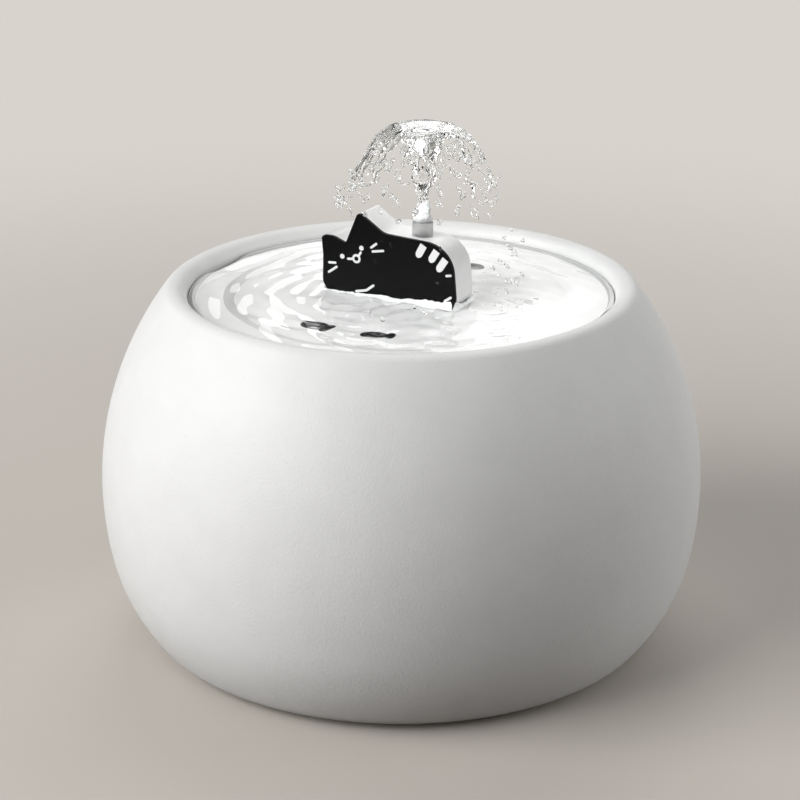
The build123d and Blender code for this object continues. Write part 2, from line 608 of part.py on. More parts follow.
def pump_housing():
    """Motor block, impeller chamber, rotor well, outlet spigot and plinth in one moulding."""
    half = MOTOR_W / 2
    motor_back = VOLUTE_HALF + MOTOR_L
    motor = block((ROTOR_X - half, ROTOR_X + half), (VOLUTE_HALF, motor_back), (MOTOR_Z, PUMP_TOP_Z))
    motor = fillet(motor.edges().filter_by(Axis.Y), MOTOR_EDGE_R)
    plinth_x = (ROTOR_X - half - PLINTH_MARGIN, ROTOR_X + half + PLINTH_MARGIN)
    plinth_y = (-VOLUTE_HALF - 2 * PLINTH_MARGIN - CUP_STEM_R, motor_back + PLINTH_MARGIN)
    plinth = block(plinth_x, plinth_y, (PLINTH_Z, MOTOR_Z))
    plinth = fillet(plinth.edges().filter_by(Axis.Z), MOTOR_EDGE_R)
    chamber_y = (-VOLUTE_HALF, VOLUTE_HALF)
    saddle = block((ROTOR_X - CHAMBER_R, ROTOR_X + CHAMBER_R), chamber_y, (MOTOR_Z, ROTOR_Z))
    neck = block((NOZZLE_X - SHOULDER_R, NOZZLE_X + SHOULDER_R), chamber_y, (ROTOR_Z, PUMP_TOP_Z))
    outlet = Pos(NOZZLE_X, 0)
    body = motor + plinth + saddle + neck + PUMP * rod(VOLUTE_R, *chamber_y)
    body += outlet * rod(SHOULDER_R, PUMP_TOP_Z, RISER_FOOT_Z)
    body += outlet * rod(SPIGOT_R, RISER_FOOT_Z, RISER_FOOT_Z + SPIGOT_L)
    body -= outlet * rod(SPIGOT_BORE_R, ROTOR_Z, RISER_FOOT_Z + SPIGOT_L)
    body -= PUMP * rod(CHAMBER_R, *chamber_y)
    body -= PUMP * rod(WELL_R, 0, WELL_END)
    body -= PUMP * rod(BUSH_R + RUNNING_FIT, 0, WELL_END + BUSH_L)
    body -= [place * rod(CUP_STEM_R + CUP_FIT, PLINTH_Z, MOTOR_Z) for place in cup_places()]
    stub = PUMP * (Pos(0, -GLAND_RISE) * rod(GLAND_STUB_R + RUNNING_FIT, motor_back - GLAND_STUB_L, motor_back))
    return body - stub


def suction_cups():
    """Four rubber cups: stem in the plinth, neck and flared lip on the bowl's floor."""
    floor = BOWL_FLOOR_Z
    lip = CUP_H / 6
    outline = Polyline(
        (0, MOTOR_Z),
        (CUP_STEM_R, MOTOR_Z),
        (CUP_STEM_R, PLINTH_Z),
        (CUP_NECK_R, PLINTH_Z),
        (CUP_NECK_R, floor + CUP_H / 2),
        (CUP_R, floor + lip),
        (CUP_R, floor),
        (CUP_R - lip, floor),
        (0, floor + CUP_H / 4),
        close=True,
    )
    cup = lathe(outline.edges())
    return [place * cup for place in cup_places()]


def lead_gland():
    """Round gland on the back of the motor where the lead goes in."""
    back = VOLUTE_HALF + MOTOR_L
    body = rod(GLAND_STUB_R, back - GLAND_STUB_L, back) + rod(GLAND_R, back, back + GLAND_L)
    body = chamfer(body.edges().group_by(Axis.Z)[-1], GLAND_R / 4)
    return PUMP * (Pos(0, -GLAND_RISE) * (body - rod(CORD_R, back - GLAND_STUB_L, back + GLAND_L)))


def impeller():
    """Six-bladed impeller on a long hub that carries the magnet."""
    front = -VOLUTE_HALF + 2 * AXIAL_PLAY
    plate_z = front + BLADE_H
    back = WELL_END - AXIAL_PLAY
    blade = block((CORE_R / 2, IMPELLER_R), (-BLADE_T / 2, BLADE_T / 2), (front, plate_z))
    body = rod(CORE_R, front, back) + rod(IMPELLER_R, plate_z, plate_z + BLADE_PLATE_T)
    body += around(blade, BLADE_COUNT)
    return PUMP * (body - rod(SHAFT_R + RUNNING_FIT, front, back))


def impeller_magnet():
    """Ring magnet on the impeller's hub, inside the rotor well."""
    back = WELL_END - AXIAL_PLAY
    return PUMP * ring(MAGNET_R, CORE_R, back - MAGNET_L, back)


def impeller_shaft():
    """Ceramic shaft held at both ends by the bushes."""
    return PUMP * rod(SHAFT_R, -VOLUTE_HALF - COVER_T / 2, WELL_END + BUSH_L)


def shaft_bushes():
    """Rubber bushes at the ends of the shaft, one in the cover's spider and one in the well."""
    front = -VOLUTE_HALF - COVER_T
    bush = ring(BUSH_R, SHAFT_R, 0, BUSH_L) + rod(BUSH_R, 0, COVER_T / 2)
    rear = ring(BUSH_R, SHAFT_R, WELL_END, WELL_END + BUSH_L)
    return [PUMP * (Pos(0, 0, front) * bush), PUMP * rear]


def volute_cover():
    """Disc that closes the chamber: round intake with a three-armed spider for the front bush."""
    front = -VOLUTE_HALF - COVER_T
    body = ring(VOLUTE_R, INTAKE_R, front, -VOLUTE_HALF)
    arm = block((0, INTAKE_R + SPIDER_W), (-SPIDER_W / 2, SPIDER_W / 2), (front, -VOLUTE_HALF))
    body += around(arm, 3)
    body += rod(SPIDER_R, front, front + BUSH_L)
    return PUMP * (body - rod(BUSH_R, front, front + BUSH_L))


def ports(low, high):
    """Ring of sector-shaped water ports."""
    port = sector(PORT_IN_R, PORT_OUT_R, low, high, -PORT_SWEEP / 2, PORT_SWEEP)
    return around(port, PORT_COUNT)


def strainer_cap():
    """Front cap of the pump: a cup with a ring of ports and a bearing hole for the flow knob."""
    back = -VOLUTE_HALF - COVER_T
    face = STRAINER_FRONT + STRAINER_T
    body = rod(VOLUTE_R, STRAINER_FRONT, back)
    body = fillet(body.edges().group_by(Axis.Z)[0], STRAINER_T / 2)
    body -= rod(VOLUTE_R - STRAINER_T, face, back)
    body -= rod(KNOB_AXLE_R + RUNNING_FIT, STRAINER_FRONT, face)
    return PUMP * (body - ports(STRAINER_FRONT, face))


def flow_shutter():
    """Disc behind the ports. Its own ports line up with them when the flow is full."""
    low = STRAINER_FRONT + STRAINER_T + SHUTTER_GAP
    body = ring(PORT_OUT_R + STRAINER_T / 2, KNOB_AXLE_R, low, low + SHUTTER_T)
    return PUMP * (body - ports(low, low + SHUTTER_T))


def flow_knob():
    """Knob with a grip bar and an axle that carries the shutter."""
    seat = STRAINER_FRONT - SHUTTER_GAP
    shutter_back = STRAINER_FRONT + STRAINER_T + SHUTTER_GAP + SHUTTER_T
    length, width, height = KNOB_BAR
    body = rod(KNOB_R, seat - KNOB_T, seat) + rod(KNOB_AXLE_R, seat, shutter_back)
    bar_z = seat - KNOB_T - height
    bar = block((-length / 2, length / 2), (-width / 2, width / 2), (bar_z, seat - KNOB_T))
    return PUMP * (body + fillet(bar.edges().filter_by(Axis.Z), width / 3))


def pump_sponge():
    """Foam disc between the shutter and the chamber's cover."""
    front = STRAINER_FRONT + STRAINER_T + 2 * SHUTTER_GAP + SHUTTER_T
    return PUMP * rod(VOLUTE_R - STRAINER_T - SHUTTER_GAP, front, -VOLUTE_HALF - COVER_T)


def build():
    """Every piece of the fountain by name."""
    return {
        "bowl": bowl(),
        "foot_pads": foot_pads(),
        "cord_grommet": cord_grommet(),
        "tray": tray(),
        "filter_hanger": filter_hanger(),
        "cat_shell": cat_shell(),
        "cat_face_plate": cat_face_plate(),
        "cat_base": cat_base(),
        "nozzle_tip": nozzle_tip(),
        "riser_tube": riser_tube(),
        "riser_seal": riser_seal(),
        "filter_basket": filter_basket(),
        "filter_lid": filter_lid(),
        "filter_cotton": filter_layer(COTTON_TOP_Z, COTTON_T),
        "filter_carbon": filter_layer(CARBON_TOP_Z, CARBON_T),
        "filter_resin": filter_layer(RESIN_TOP_Z, RESIN_T),
        "pump_housing": pump_housing(),
        "volute_cover": volute_cover(),
        "strainer_cap": strainer_cap(),
        "pump_sponge": pump_sponge(),
        "flow_knob": flow_knob(),
        "flow_shutter": flow_shutter(),
        "impeller": impeller(),
        "impeller_magnet": impeller_magnet(),
        "impeller_shaft": impeller_shaft(),
        "shaft_bushes": shaft_bushes(),
        "suction_cups": suction_cups(),
        "lead_gland": lead_gland(),
    }


def main():
    os.makedirs("parts", exist_ok=True)
    for name, shape in build().items():
        whole = Compound(children=shape) if isinstance(shape, list) else shape
        export_step(whole, f"parts/{name}.step")


main()
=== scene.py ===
# %% [markdown]
# # A pet water fountain, dressed in Blender
# The solids of this fountain come from a CAD model as one fixed frame: a round bowl, a lift-off
# drinking tray, a cat-shaped cover with a nozzle in its back, a ring filter and a small pump.
# Blender gives them their finishes and the detail that CAD leaves out. Lengths of the real object
# are written in millimetres and turned to metres where a mesh or a light needs them.

# %% Load the measured frame
import json
import random
from math import atan2, cos, exp, hypot, pi, radians, sin, sqrt, tau

import bmesh
import bpy
from mathutils import Matrix, Vector, noise

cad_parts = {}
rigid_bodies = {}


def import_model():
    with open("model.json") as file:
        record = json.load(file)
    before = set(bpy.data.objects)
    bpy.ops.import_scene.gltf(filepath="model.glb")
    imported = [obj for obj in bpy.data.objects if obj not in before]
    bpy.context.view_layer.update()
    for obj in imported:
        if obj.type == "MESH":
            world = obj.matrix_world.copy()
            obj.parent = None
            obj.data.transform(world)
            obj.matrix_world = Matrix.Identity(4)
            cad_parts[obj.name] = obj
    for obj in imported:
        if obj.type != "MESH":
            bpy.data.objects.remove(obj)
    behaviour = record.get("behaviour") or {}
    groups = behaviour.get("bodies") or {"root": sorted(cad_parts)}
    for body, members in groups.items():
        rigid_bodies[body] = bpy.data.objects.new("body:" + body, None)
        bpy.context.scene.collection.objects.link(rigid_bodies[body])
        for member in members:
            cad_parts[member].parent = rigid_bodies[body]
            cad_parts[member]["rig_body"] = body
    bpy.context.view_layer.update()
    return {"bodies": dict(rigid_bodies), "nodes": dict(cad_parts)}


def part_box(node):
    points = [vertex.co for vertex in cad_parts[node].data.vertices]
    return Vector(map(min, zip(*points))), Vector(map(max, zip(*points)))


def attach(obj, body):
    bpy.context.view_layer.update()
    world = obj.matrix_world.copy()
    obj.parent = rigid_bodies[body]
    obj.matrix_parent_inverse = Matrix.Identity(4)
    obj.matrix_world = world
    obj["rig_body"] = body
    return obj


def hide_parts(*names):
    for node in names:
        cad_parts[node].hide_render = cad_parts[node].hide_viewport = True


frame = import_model()
MM = 0.001

# %% [markdown]
# ## Camera
# A product picture is taken with a long lens from a little above, so that the rim stays a calm
# ellipse. The camera could be placed by its coordinates. Here it stands at an angle round the bowl,
# an angle above the table and a distance, because those three can be changed one at a time.

# %% Set the camera
AIM = Vector((-0.44, -0.24, 88.4)) * MM
CAMERA_TURN, CAMERA_RISE = 28, 19.95
CAMERA_DISTANCE = 880 * MM
LENS = 108.06


def towards(turn, rise):
    """Unit vector away from the fountain: degrees round from the front, degrees above the table."""
    turn, rise = radians(turn), radians(rise)
    return Vector((sin(turn) * cos(rise), -cos(turn) * cos(rise), sin(rise)))


def facing_back(obj, target):
    """Points an object's -Z axis, along which cameras and lamps look, at a target."""
    obj.rotation_euler = (obj.location - target).to_track_quat("Z", "Y").to_euler()


camera = bpy.data.objects.new("camera", bpy.data.cameras.new("camera"))
camera.data.lens = LENS
camera.data.clip_start = 10 * MM
camera.location = AIM + CAMERA_DISTANCE * towards(CAMERA_TURN, CAMERA_RISE)
facing_back(camera, AIM)
bpy.context.scene.collection.objects.link(camera)
bpy.context.scene.camera = camera
bpy.context.scene.view_settings.view_transform = "Standard"
print("camera at", [round(c, 3) for c in camera.location])

# %% [markdown]
# ## Studio light
# White on white only reads through shading. A large soft key from the left models the bowl from
# bright to grey, two weak ones on the right lift its far edge, one overhead whitens the lip, and a
# broad window behind gives the water something to mirror. Softboxes are area lamps: the larger the
# lamp, the softer the shadow. A dim one under the floor shows the foot to whoever looks up at it,
# because this floor can be seen through from below.

# %% Hang the softboxes
SOFTBOXES = {  # turn, rise, distance in m, width and height in m, power in W
    "key": (-34, 29, 1.5, 1.3, 0.9, 25),
    "overhead": (-150, 58, 1.7, 0.9, 0.9, 4.6),
    "right": (104, 15, 1.7, 1.0, 0.8, 5.6),
    "back right": (130, 20, 1.7, 1.0, 0.8, 6.8),
    "window": (191, 24, 2.0, 1.4, 1.2, 7),
}
LOW_POWER, LOW_WIDTH, LOW_DEPTH, LOW_SPREAD = 0.022, 0.14, 0.06, 30  # W, m, m, degrees


def area_lamp(label, power, **settings):
    """An area lamp in the scene, with its other settings by name."""
    lamp = bpy.data.objects.new(label, bpy.data.lights.new(label, "AREA"))
    lamp.data.energy = power
    for setting, value in settings.items():
        setattr(lamp.data, setting, value)
    bpy.context.scene.collection.objects.link(lamp)
    return lamp


for label, (turn, rise, distance, width, height, power) in SOFTBOXES.items():
    softbox = area_lamp(label, power, shape="RECTANGLE", size=width, size_y=height)
    softbox.location = AIM + distance * towards(turn, rise)
    facing_back(softbox, AIM)
# It looks up, and its beam is too narrow to pass the foot.
low = area_lamp("under the foot", LOW_POWER, shape="DISK", size=LOW_WIDTH, spread=radians(LOW_SPREAD))
low.location.z = -LOW_DEPTH
low.rotation_euler.x = pi
low.visible_camera = False
print("softboxes:", ", ".join(SOFTBOXES))

# %% [markdown]
# ## Helpers for finishes
# Paint charts give colours as sRGB hex codes, but shaders count in linear light, so one function
# turns the first into the second. A finish is a small network of nodes. Each node is added by the
# same function, which sets its options and its sockets, so a finish reads like a recipe. A socket
# takes a number, a hex code, or the node that feeds it.


# %% Define the helpers
def linear(code):
    """sRGB hex code as the linear colour that shader sockets take."""
    shares = [int(code[i : i + 2], 16) / 255 for i in (1, 3, 5)]
    return [c / 12.92 if c <= 0.04045 else ((c + 0.055) / 1.055) ** 2.4 for c in shares] + [1.0]


def feed(node, sockets):
    """Sets or joins a node's sockets. A node that feeds one does it from its first live output."""
    for socket, value in sockets.items():
        if isinstance(value, bpy.types.Node):
            value = next(output for output in value.outputs if output.enabled)
        if isinstance(value, bpy.types.NodeSocket):
            node.id_data.links.new(value, node.inputs[socket])
        else:
            node.inputs[socket].default_value = linear(value) if isinstance(value, str) else value


def add(tree, kind, sockets=None, **options):
    """One node, with its options by name and its sockets as feed takes them."""
    node = tree.nodes.new(kind)
    for option, value in options.items():
        setattr(node, option, value)
    feed(node, sockets or {})
    return node


def per_mm(size):
    """Scale of a noise or cell pattern whose features are that many millimetres wide."""
    return 1 / (size * MM)


def new_finish(name, **sockets):
    """A material. Returns it, its tree, its shader, and where a point is on the fountain in metres."""
    material = bpy.data.materials.new(name)
    material.use_nodes = True
    tree = material.node_tree
    shader = tree.nodes["Principled BSDF"]
    feed(shader, {socket.replace("_", " "): value for socket, value in sockets.items()})
    return material, tree, shader, add(tree, "ShaderNodeTexCoord").outputs["Object"]


print("white #ffffff is", linear("#ffffff")[:3])

# %% [markdown]
# ## The floor
# The fountain stands on a plain pale sweep, which is not part of the object. A hint of broad
# unevenness keeps so large a plane from looking like paper cut out around the bowl. A pale sweep
# would throw light under the belly and flatten it, so what it throws is held darker than it looks.
# Away from the fountain it passes into the colour of the walls, so that no horizon cuts the picture,
# and from below it is seen through.

# %% Lay the floor
FLOOR_HALF = 3.0
FLOOR_FADES, FLOOR_GONE = 0.15, 0.8  # radius in m where it starts to pass into the wall, and where it has
WALL_COLOUR, WALLS_FAR = "#f5f0e9", 0.75  # colour and strength of the walls as the camera sees them


def new_piece(name, mesh):
    """An object for a mesh, linked to the scene."""
    piece = bpy.data.objects.new(name, mesh)
    bpy.context.scene.collection.objects.link(piece)
    return piece


def piece_of(name, corners, faces=(), edges=()):
    """A piece from corners in metres and the faces or edges between them."""
    mesh = bpy.data.meshes.new(name)
    mesh.from_pydata(corners, edges, faces)
    return new_piece(name, mesh)


square = [(x * FLOOR_HALF, y * FLOOR_HALF, 0) for x, y in ((-1, -1), (1, -1), (1, 1), (-1, 1))]
floor = piece_of("floor", square, [(0, 1, 2, 3)])
sweep, tree, shader, spot = new_finish("painted studio floor", Roughness=0.7)
cloud = add(tree, "ShaderNodeTexNoise", {"Vector": spot, "Scale": per_mm(300), "Detail": 2.0})
shown = add(tree, "ShaderNodeMix", {0: cloud, 6: "#c9c2ba", 7: "#cfc9c1"}, data_type="RGBA")
lights = add(tree, "ShaderNodeLightPath").outputs["Is Diffuse Ray"]
thrown = add(tree, "ShaderNodeMix", {0: lights, 6: shown, 7: "#564f49"}, data_type="RGBA")
feed(shader, {"Base Color": thrown})
glow = add(tree, "ShaderNodeMath", {0: 1.0, 1: lights}, operation="SUBTRACT")
glow = add(tree, "ShaderNodeMath", {0: glow, 1: WALLS_FAR}, operation="MULTIPLY")
wall = add(tree, "ShaderNodeEmission", {"Color": WALL_COLOUR, "Strength": glow})
reach = add(tree, "ShaderNodeVectorMath", {0: spot}, operation="LENGTH")
fade = {"Value": reach, "From Min": FLOOR_FADES, "From Max": FLOOR_GONE}
fade = add(tree, "ShaderNodeMapRange", fade, interpolation_type="SMOOTHSTEP")
faded = add(tree, "ShaderNodeMixShader", {0: fade, 1: shader, 2: wall})
below = add(tree, "ShaderNodeNewGeometry").outputs["Backfacing"]
sided = add(tree, "ShaderNodeMixShader", {0: below, 1: faded, 2: add(tree, "ShaderNodeBsdfTransparent")})
feed(tree.nodes["Material Output"], {"Surface": sided})
sweep.cycles.emission_sampling = "NONE"  # the faded floor shows the walls' light but gives none
floor.data.materials.append(sweep)
floor.visible_shadow = False
print("floor", 2 * FLOOR_HALF, "m wide")

# %% [markdown]
# ## The walls
# The walls throw no diffuse light, so the softboxes alone shade the bowl. To whatever mirrors or
# refracts them they run from almost black at the floor to light grey overhead, because water and
# clear plastic show nothing but that contrast. To the camera they are even.

# %% Paint the walls
WALLS_LOW, WALLS_HIGH = 0.02, 0.65
world = bpy.data.worlds.new("studio")
world.use_nodes = True
tree = world.node_tree
rise = add(tree, "ShaderNodeSeparateXYZ", {0: add(tree, "ShaderNodeTexCoord").outputs["Generated"]})
mirrored = {"Value": rise.outputs["Z"], "To Min": WALLS_LOW, "To Max": WALLS_HIGH}
mirrored = add(tree, "ShaderNodeMapRange", mirrored)
straight = add(tree, "ShaderNodeLightPath").outputs["Is Camera Ray"]
strength = add(tree, "ShaderNodeMix", {0: straight, 2: mirrored, 3: WALLS_FAR})
feed(tree.nodes["Background"], {"Color": WALL_COLOUR, "Strength": strength})
world.cycles_visibility.diffuse = False
bpy.context.scene.world = world
print("walls", WALLS_LOW, "to", WALLS_HIGH, "in a mirror,", WALLS_FAR, "to the camera")

# %% [markdown]
# ## Matt stoneware glaze
# The bowl is slip-cast stoneware under a matt white glaze. Matt glaze is full of micro-crystals, so
# it has no mirror, only a wide soft sheen. A fingertip feels a fine orange-peel, and the eye sees it
# where light grazes. Two noises give that: a fine grain, and a slow waviness where the glaze ran a
# little thicker. The real crystals are too fine to show, so the grain is drawn coarser. A few
# pinholes, where gas left the clay, are a touch darker.

# %% Glaze the bowl
PEEL, RUN, SPECK = 0.9, 14, 2.6  # width of the grain and the waviness, and between pinholes, in mm


def dress(shader, tones, gloss, *reliefs):
    """Leads a shader by patterns: (pattern, colour, colour), (pattern, roughness, roughness) or None,
    and (pattern, depth in mm) as often as needed, each on top of the one before."""
    tree = shader.id_data
    skin = {"Base Color": add(tree, "ShaderNodeMix", dict(zip((0, 6, 7), tones)), data_type="RGBA")}
    if gloss:
        skin["Roughness"] = add(tree, "ShaderNodeMapRange", dict(zip(("Value", "To Min", "To Max"), gloss)))
    for pattern, depth in reliefs:
        relief = {"Height": pattern, "Distance": depth * MM}
        if "Normal" in skin:
            relief["Normal"] = skin["Normal"]
        skin["Normal"] = add(tree, "ShaderNodeBump", relief)
    feed(shader, skin)


glaze, tree, shader, spot = new_finish("matt stoneware glaze", IOR=1.5, Coat_Weight=0.06, Coat_Roughness=0.45)
peel = {"Vector": spot, "Scale": per_mm(PEEL), "Detail": 3.0, "Roughness": 0.6}
peel = add(tree, "ShaderNodeTexNoise", peel)
run = add(tree, "ShaderNodeTexNoise", {"Vector": spot, "Scale": per_mm(RUN), "Detail": 2.0})
speck = add(tree, "ShaderNodeTexVoronoi", {"Vector": spot, "Scale": per_mm(SPECK), "Randomness": 1.0})
pinhole = add(tree, "ShaderNodeMapRange", {"Value": speck, "From Min": 0.02, "From Max": 0.11})
white = add(tree, "ShaderNodeMix", {0: run, 6: "#eeeeed", 7: "#f6f6f5"}, data_type="RGBA")
dress(shader, (pinhole, "#e2dfda", white), (peel, 0.46, 0.6), (peel, 0.11), (run, 0.12))
print(glaze.name, "grain scale", round(per_mm(PEEL)))

# %% [markdown]
# ## Moulded plastics
# Tray, cover, filter and pump are injection moulded. Such a part is never quite one tone: the melt
# flows leave a faint cloudiness, and the steel mould leaves its own texture, from polished to spark
# eroded. One recipe covers them, because they differ only in colour, gloss and grain.

# %% Mix the moulded plastics
CLOUDINESS = 9  # width of a flow mark in mm


def moulded(name, low, high, gloss, grain, depth, ior=1.53, coat=0.0, level=0.5):
    """Moulded plastic: two near colours, a range of roughness, and its grain's width and depth in mm."""
    sockets = {"IOR": ior, "Specular_IOR_Level": level, "Coat_Weight": coat, "Coat_Roughness": 0.08}
    material, tree, shader, spot = new_finish(name, **sockets)
    flow = {"Vector": spot, "Scale": per_mm(CLOUDINESS), "Detail": 3.0, "Distortion": 0.8}
    flow = add(tree, "ShaderNodeTexNoise", flow)
    texture = add(tree, "ShaderNodeTexNoise", {"Vector": spot, "Scale": per_mm(grain), "Detail": 2.0})
    dress(shader, (flow, low, high), (texture, *gloss), (texture, depth))
    return material


# Polished ABS: clean highlights, barely any grain.
tray_abs = moulded("polished white ABS", "#cdcdcd", "#d6d6d6", (0.14, 0.22), 6.0, 0.03, coat=0.3)
# Satin ABS: the highlight spreads into a soft band along the cover's back.
shell_abs = moulded("satin white ABS", "#e9e9e9", "#f1f1f0", (0.30, 0.40), 0.6, 0.02)
# Black soft-touch ABS: the face swallows light, only its rounded edges keep a grey gloss.
plate_abs = moulded("black soft touch ABS", "#070708", "#0b0b0c", (0.30, 0.36), 5.0, 0.004, level=0.07)
# Dark polypropylene: waxy, a little lighter where the light grazes.
filter_pp = moulded("charcoal polypropylene", "#232426", "#2c2d30", (0.38, 0.52), 0.8, 0.03, ior=1.49)
# Spark-eroded black ABS of the pump: a dry, even grain.
pump_abs = moulded("spark eroded black ABS", "#141516", "#1c1d1f", (0.48, 0.62), 0.5, 0.05)
# Grey acetal of the turning parts: slick and slightly translucent to the eye.
knob_pom = moulded("grey acetal", "#8d9092", "#9b9ea0", (0.26, 0.36), 0.9, 0.015, ior=1.48)
print("moulded plastics: 6")

# %% [markdown]
# ## Painted shade in the drains
# Near-black colour lines the drains and rims them. It is painted shade that stands for the dark hollow under
# each fish, so the fish stay dark under bright water. It could be a picture laid on the tray. Here each fish
# is two ovals, one for the body and one for the tail fin. A Mapping node moves, turns and shrinks an oval to
# a ball of radius one, and a point is painted dark where it lies inside that ball and near the height of the
# tray's floor.

# %% Paint shade into the fish
DRAIN_CIRCLE_R, DRAIN_ANGLES = 45.04, (-102, -72, 84, 114)
OVALS = ((-1.5, 5.2, 4.1), (4.1, 1.9, 3.8))  # body and fin: past the drain's middle, half length, half width
SHADE_MIDDLE, SHADE_HALF = 125.26, 1.1  # height and half height of the painted shade in mm
UNBOUNDED = 1000  # an oval reaches this far up and down, in m
tree = tray_abs.node_tree
shader = tree.nodes["Principled BSDF"]
spot = add(tree, "ShaderNodeTexCoord").outputs["Object"]
height = add(tree, "ShaderNodeSeparateXYZ", {0: spot}).outputs["Z"]
layer = {0: height, 1: SHADE_MIDDLE * MM, 2: SHADE_HALF * MM}
layer = add(tree, "ShaderNodeMath", layer, operation="COMPARE")
fish = 0.0
for angle in DRAIN_ANGLES:
    for past, long, wide in OVALS:
        middle = Matrix.Rotation(radians(angle), 3, "Z") @ Vector((DRAIN_CIRCLE_R, past, 0)) * MM
        oval = {"Vector": spot, "Location": middle, "Rotation": (0, 0, radians(angle))}
        oval["Scale"] = (wide * MM, long * MM, UNBOUNDED)
        within = add(tree, "ShaderNodeMapping", oval, vector_type="TEXTURE")
        away = add(tree, "ShaderNodeVectorMath", {0: within}, operation="LENGTH")
        inside = add(tree, "ShaderNodeMath", {0: away, 1: 1.0}, operation="LESS_THAN")
        fish = add(tree, "ShaderNodeMath", {0: inside, 1: fish}, operation="MAXIMUM")
# Painted shade: near black inside the fish ovals at the floor's height, standing for the shade in the drains'
# hollows
painted_shade = add(tree, "ShaderNodeMath", {0: fish, 1: layer}, operation="MULTIPLY")
white = shader.inputs["Base Color"].links[0].from_socket
drain_shaded_colour = add(tree, "ShaderNodeMix", {0: painted_shade, 6: white, 7: "#0d0d0e"}, data_type="RGBA")
feed(shader, {"Base Color": drain_shaded_colour})
print("printed fish:", len(DRAIN_ANGLES))

# %% [markdown]
# ## Rubber, clear plastic, ceramic and magnet
# Rubber is dull because its skin scatters light. Clear tubes are the opposite, nothing but
# refraction. They get full or nearly full transmission and a trace of haze, because hard water
# leaves a film.

# %% Mix the small finishes
# Nitrile and silicone rubber: dull skin with fine moulding bloom.
dark_rubber = moulded("black nitrile rubber", "#17181a", "#212224", (0.62, 0.78), 0.4, 0.04)
white_rubber = moulded("white silicone rubber", "#d9d8d5", "#e3e2df", (0.5, 0.62), 0.5, 0.03, ior=1.43)
# Zirconia shaft: hard, cool white and almost polished.
zirconia = moulded("ground zirconia", "#e6e7e8", "#f0f0ef", (0.12, 0.2), 0.3, 0.006, ior=2.1)
# Bonded ferrite magnet: near black with a fine metallic grit.
ferrite = moulded("bonded ferrite", "#1b1b1d", "#2b2b2e", (0.42, 0.6), 0.35, 0.04)


def clear(name, tints, haze, ior, passing=1.0):
    """Clear moulded plastic with a faint film of lime."""
    material, tree, shader, spot = new_finish(name, IOR=ior, Transmission_Weight=passing)
    lime = add(tree, "ShaderNodeTexNoise", {"Vector": spot, "Scale": per_mm(2.5), "Detail": 3.0})
    dress(shader, (lime, *tints), (lime, *haze), (lime, 0.02))
    return material


# Frosted polycarbonate tube: a milky grey body. Clear soft PVC for the suction cups.
clear_tube = clear("frosted polycarbonate", ("#e8e9e9", "#f4f4f4"), (0.28, 0.4), 1.38, passing=0.85)
clear_rubber = clear("clear soft PVC", ("#cfd6d8", "#dfe4e5"), (0.16, 0.28), 1.53)
print("small finishes: 6")

# %% [markdown]
# ## Filter media and foam
# A filter holds three beds: needled cotton, crushed coconut carbon and ion-exchange resin. Seen
# through the slots they are a matted white, a glittering black and an amber like fish roe. Cell
# patterns serve for the grains and beads, and a stretched noise for the fibres.

# %% Mix the filter media
fluff = {"Roughness": 0.95, "Sheen_Weight": 0.35, "Sheen_Roughness": 0.6}
cotton, tree, shader, spot = new_finish("needled cotton", **fluff)
combed = add(tree, "ShaderNodeMapping", {"Vector": spot, "Scale": (1.0, 0.18, 0.6)})
fibre = add(tree, "ShaderNodeTexNoise", {"Vector": combed, "Scale": per_mm(0.35), "Detail": 4.0})
mat = add(tree, "ShaderNodeTexNoise", {"Vector": spot, "Scale": per_mm(3), "Detail": 3.0})
tangle = add(tree, "ShaderNodeMath", {0: fibre, 1: mat}, operation="ADD")
dress(shader, (mat, "#dedcd6", "#f2f1ed"), None, (tangle, 0.35))


def bed(name, tones, size, gloss, depth, **sockets):
    """Bed of loose grains about size mm wide, each with its own tone."""
    material, tree, shader, spot = new_finish(name, **sockets)
    cell = add(tree, "ShaderNodeTexVoronoi", {"Vector": spot, "Scale": per_mm(size)})
    own = add(tree, "ShaderNodeSeparateColor", {0: cell.outputs["Color"]})
    dome = add(tree, "ShaderNodeMath", {0: 1.0, 1: cell}, operation="SUBTRACT")
    dress(shader, (own, *tones), (own.outputs[1], *gloss), (dome, depth))
    return material


carbon = bed("coconut shell carbon", ("#0c0c0d", "#29292b"), 1.3, (0.3, 0.75), 0.5, IOR=1.6)
wet = {"Subsurface_Weight": 0.2, "Subsurface_Scale": 0.6 * MM}
resin = bed("ion exchange resin", ("#b9772c", "#dda04a"), 1.0, (0.15, 0.3), 0.4, **wet)
# Open-cell polyurethane foam: the walls between its pores catch the light, the pores stay dark.
foam = bed("open cell foam", ("#3c3f42", "#5a5e61"), 0.9, (0.85, 0.95), -0.6, IOR=1.5)
print("filter media: 4")

# %% [markdown]
# ## Hand the finishes to the solids
# Each CAD node names a finish slot. One table says which real material fills each slot, so no node
# can be left in flat grey.

# %% Dress every CAD node
FINISHES = {
    "bowl_ceramic": glaze,
    "tray_white": tray_abs,
    "shell_white": shell_abs,
    "plate_black": plate_abs,
    "clear_tube": clear_tube,
    "dark_rubber": dark_rubber,
    "white_rubber": white_rubber,
    "clear_rubber": clear_rubber,
    "filter_grey": filter_pp,
    "cotton_white": cotton,
    "carbon_black": carbon,
    "resin_amber": resin,
    "pump_black": pump_abs,
    "knob_grey": knob_pom,
    "sponge_grey": foam,
    "magnet_black": ferrite,
    "shaft_ceramic": zirconia,
}
slot_of = {}
for name, node in frame["nodes"].items():
    slot_of[name] = node.material_slots[0].material.name
    node.material_slots[0].material = FINISHES[slot_of[name]]
print("dressed", len(slot_of), "nodes with", len(set(slot_of.values())), "finishes")

# %% [markdown]
# ## Small tools for pieces
# A finished piece is one plain mesh at the origin, that rides on the body of the solid it stands
# for. A copy of a solid comes as loose triangles, so it is merged and its flat faces are made whole
# again before an edge can be rounded.


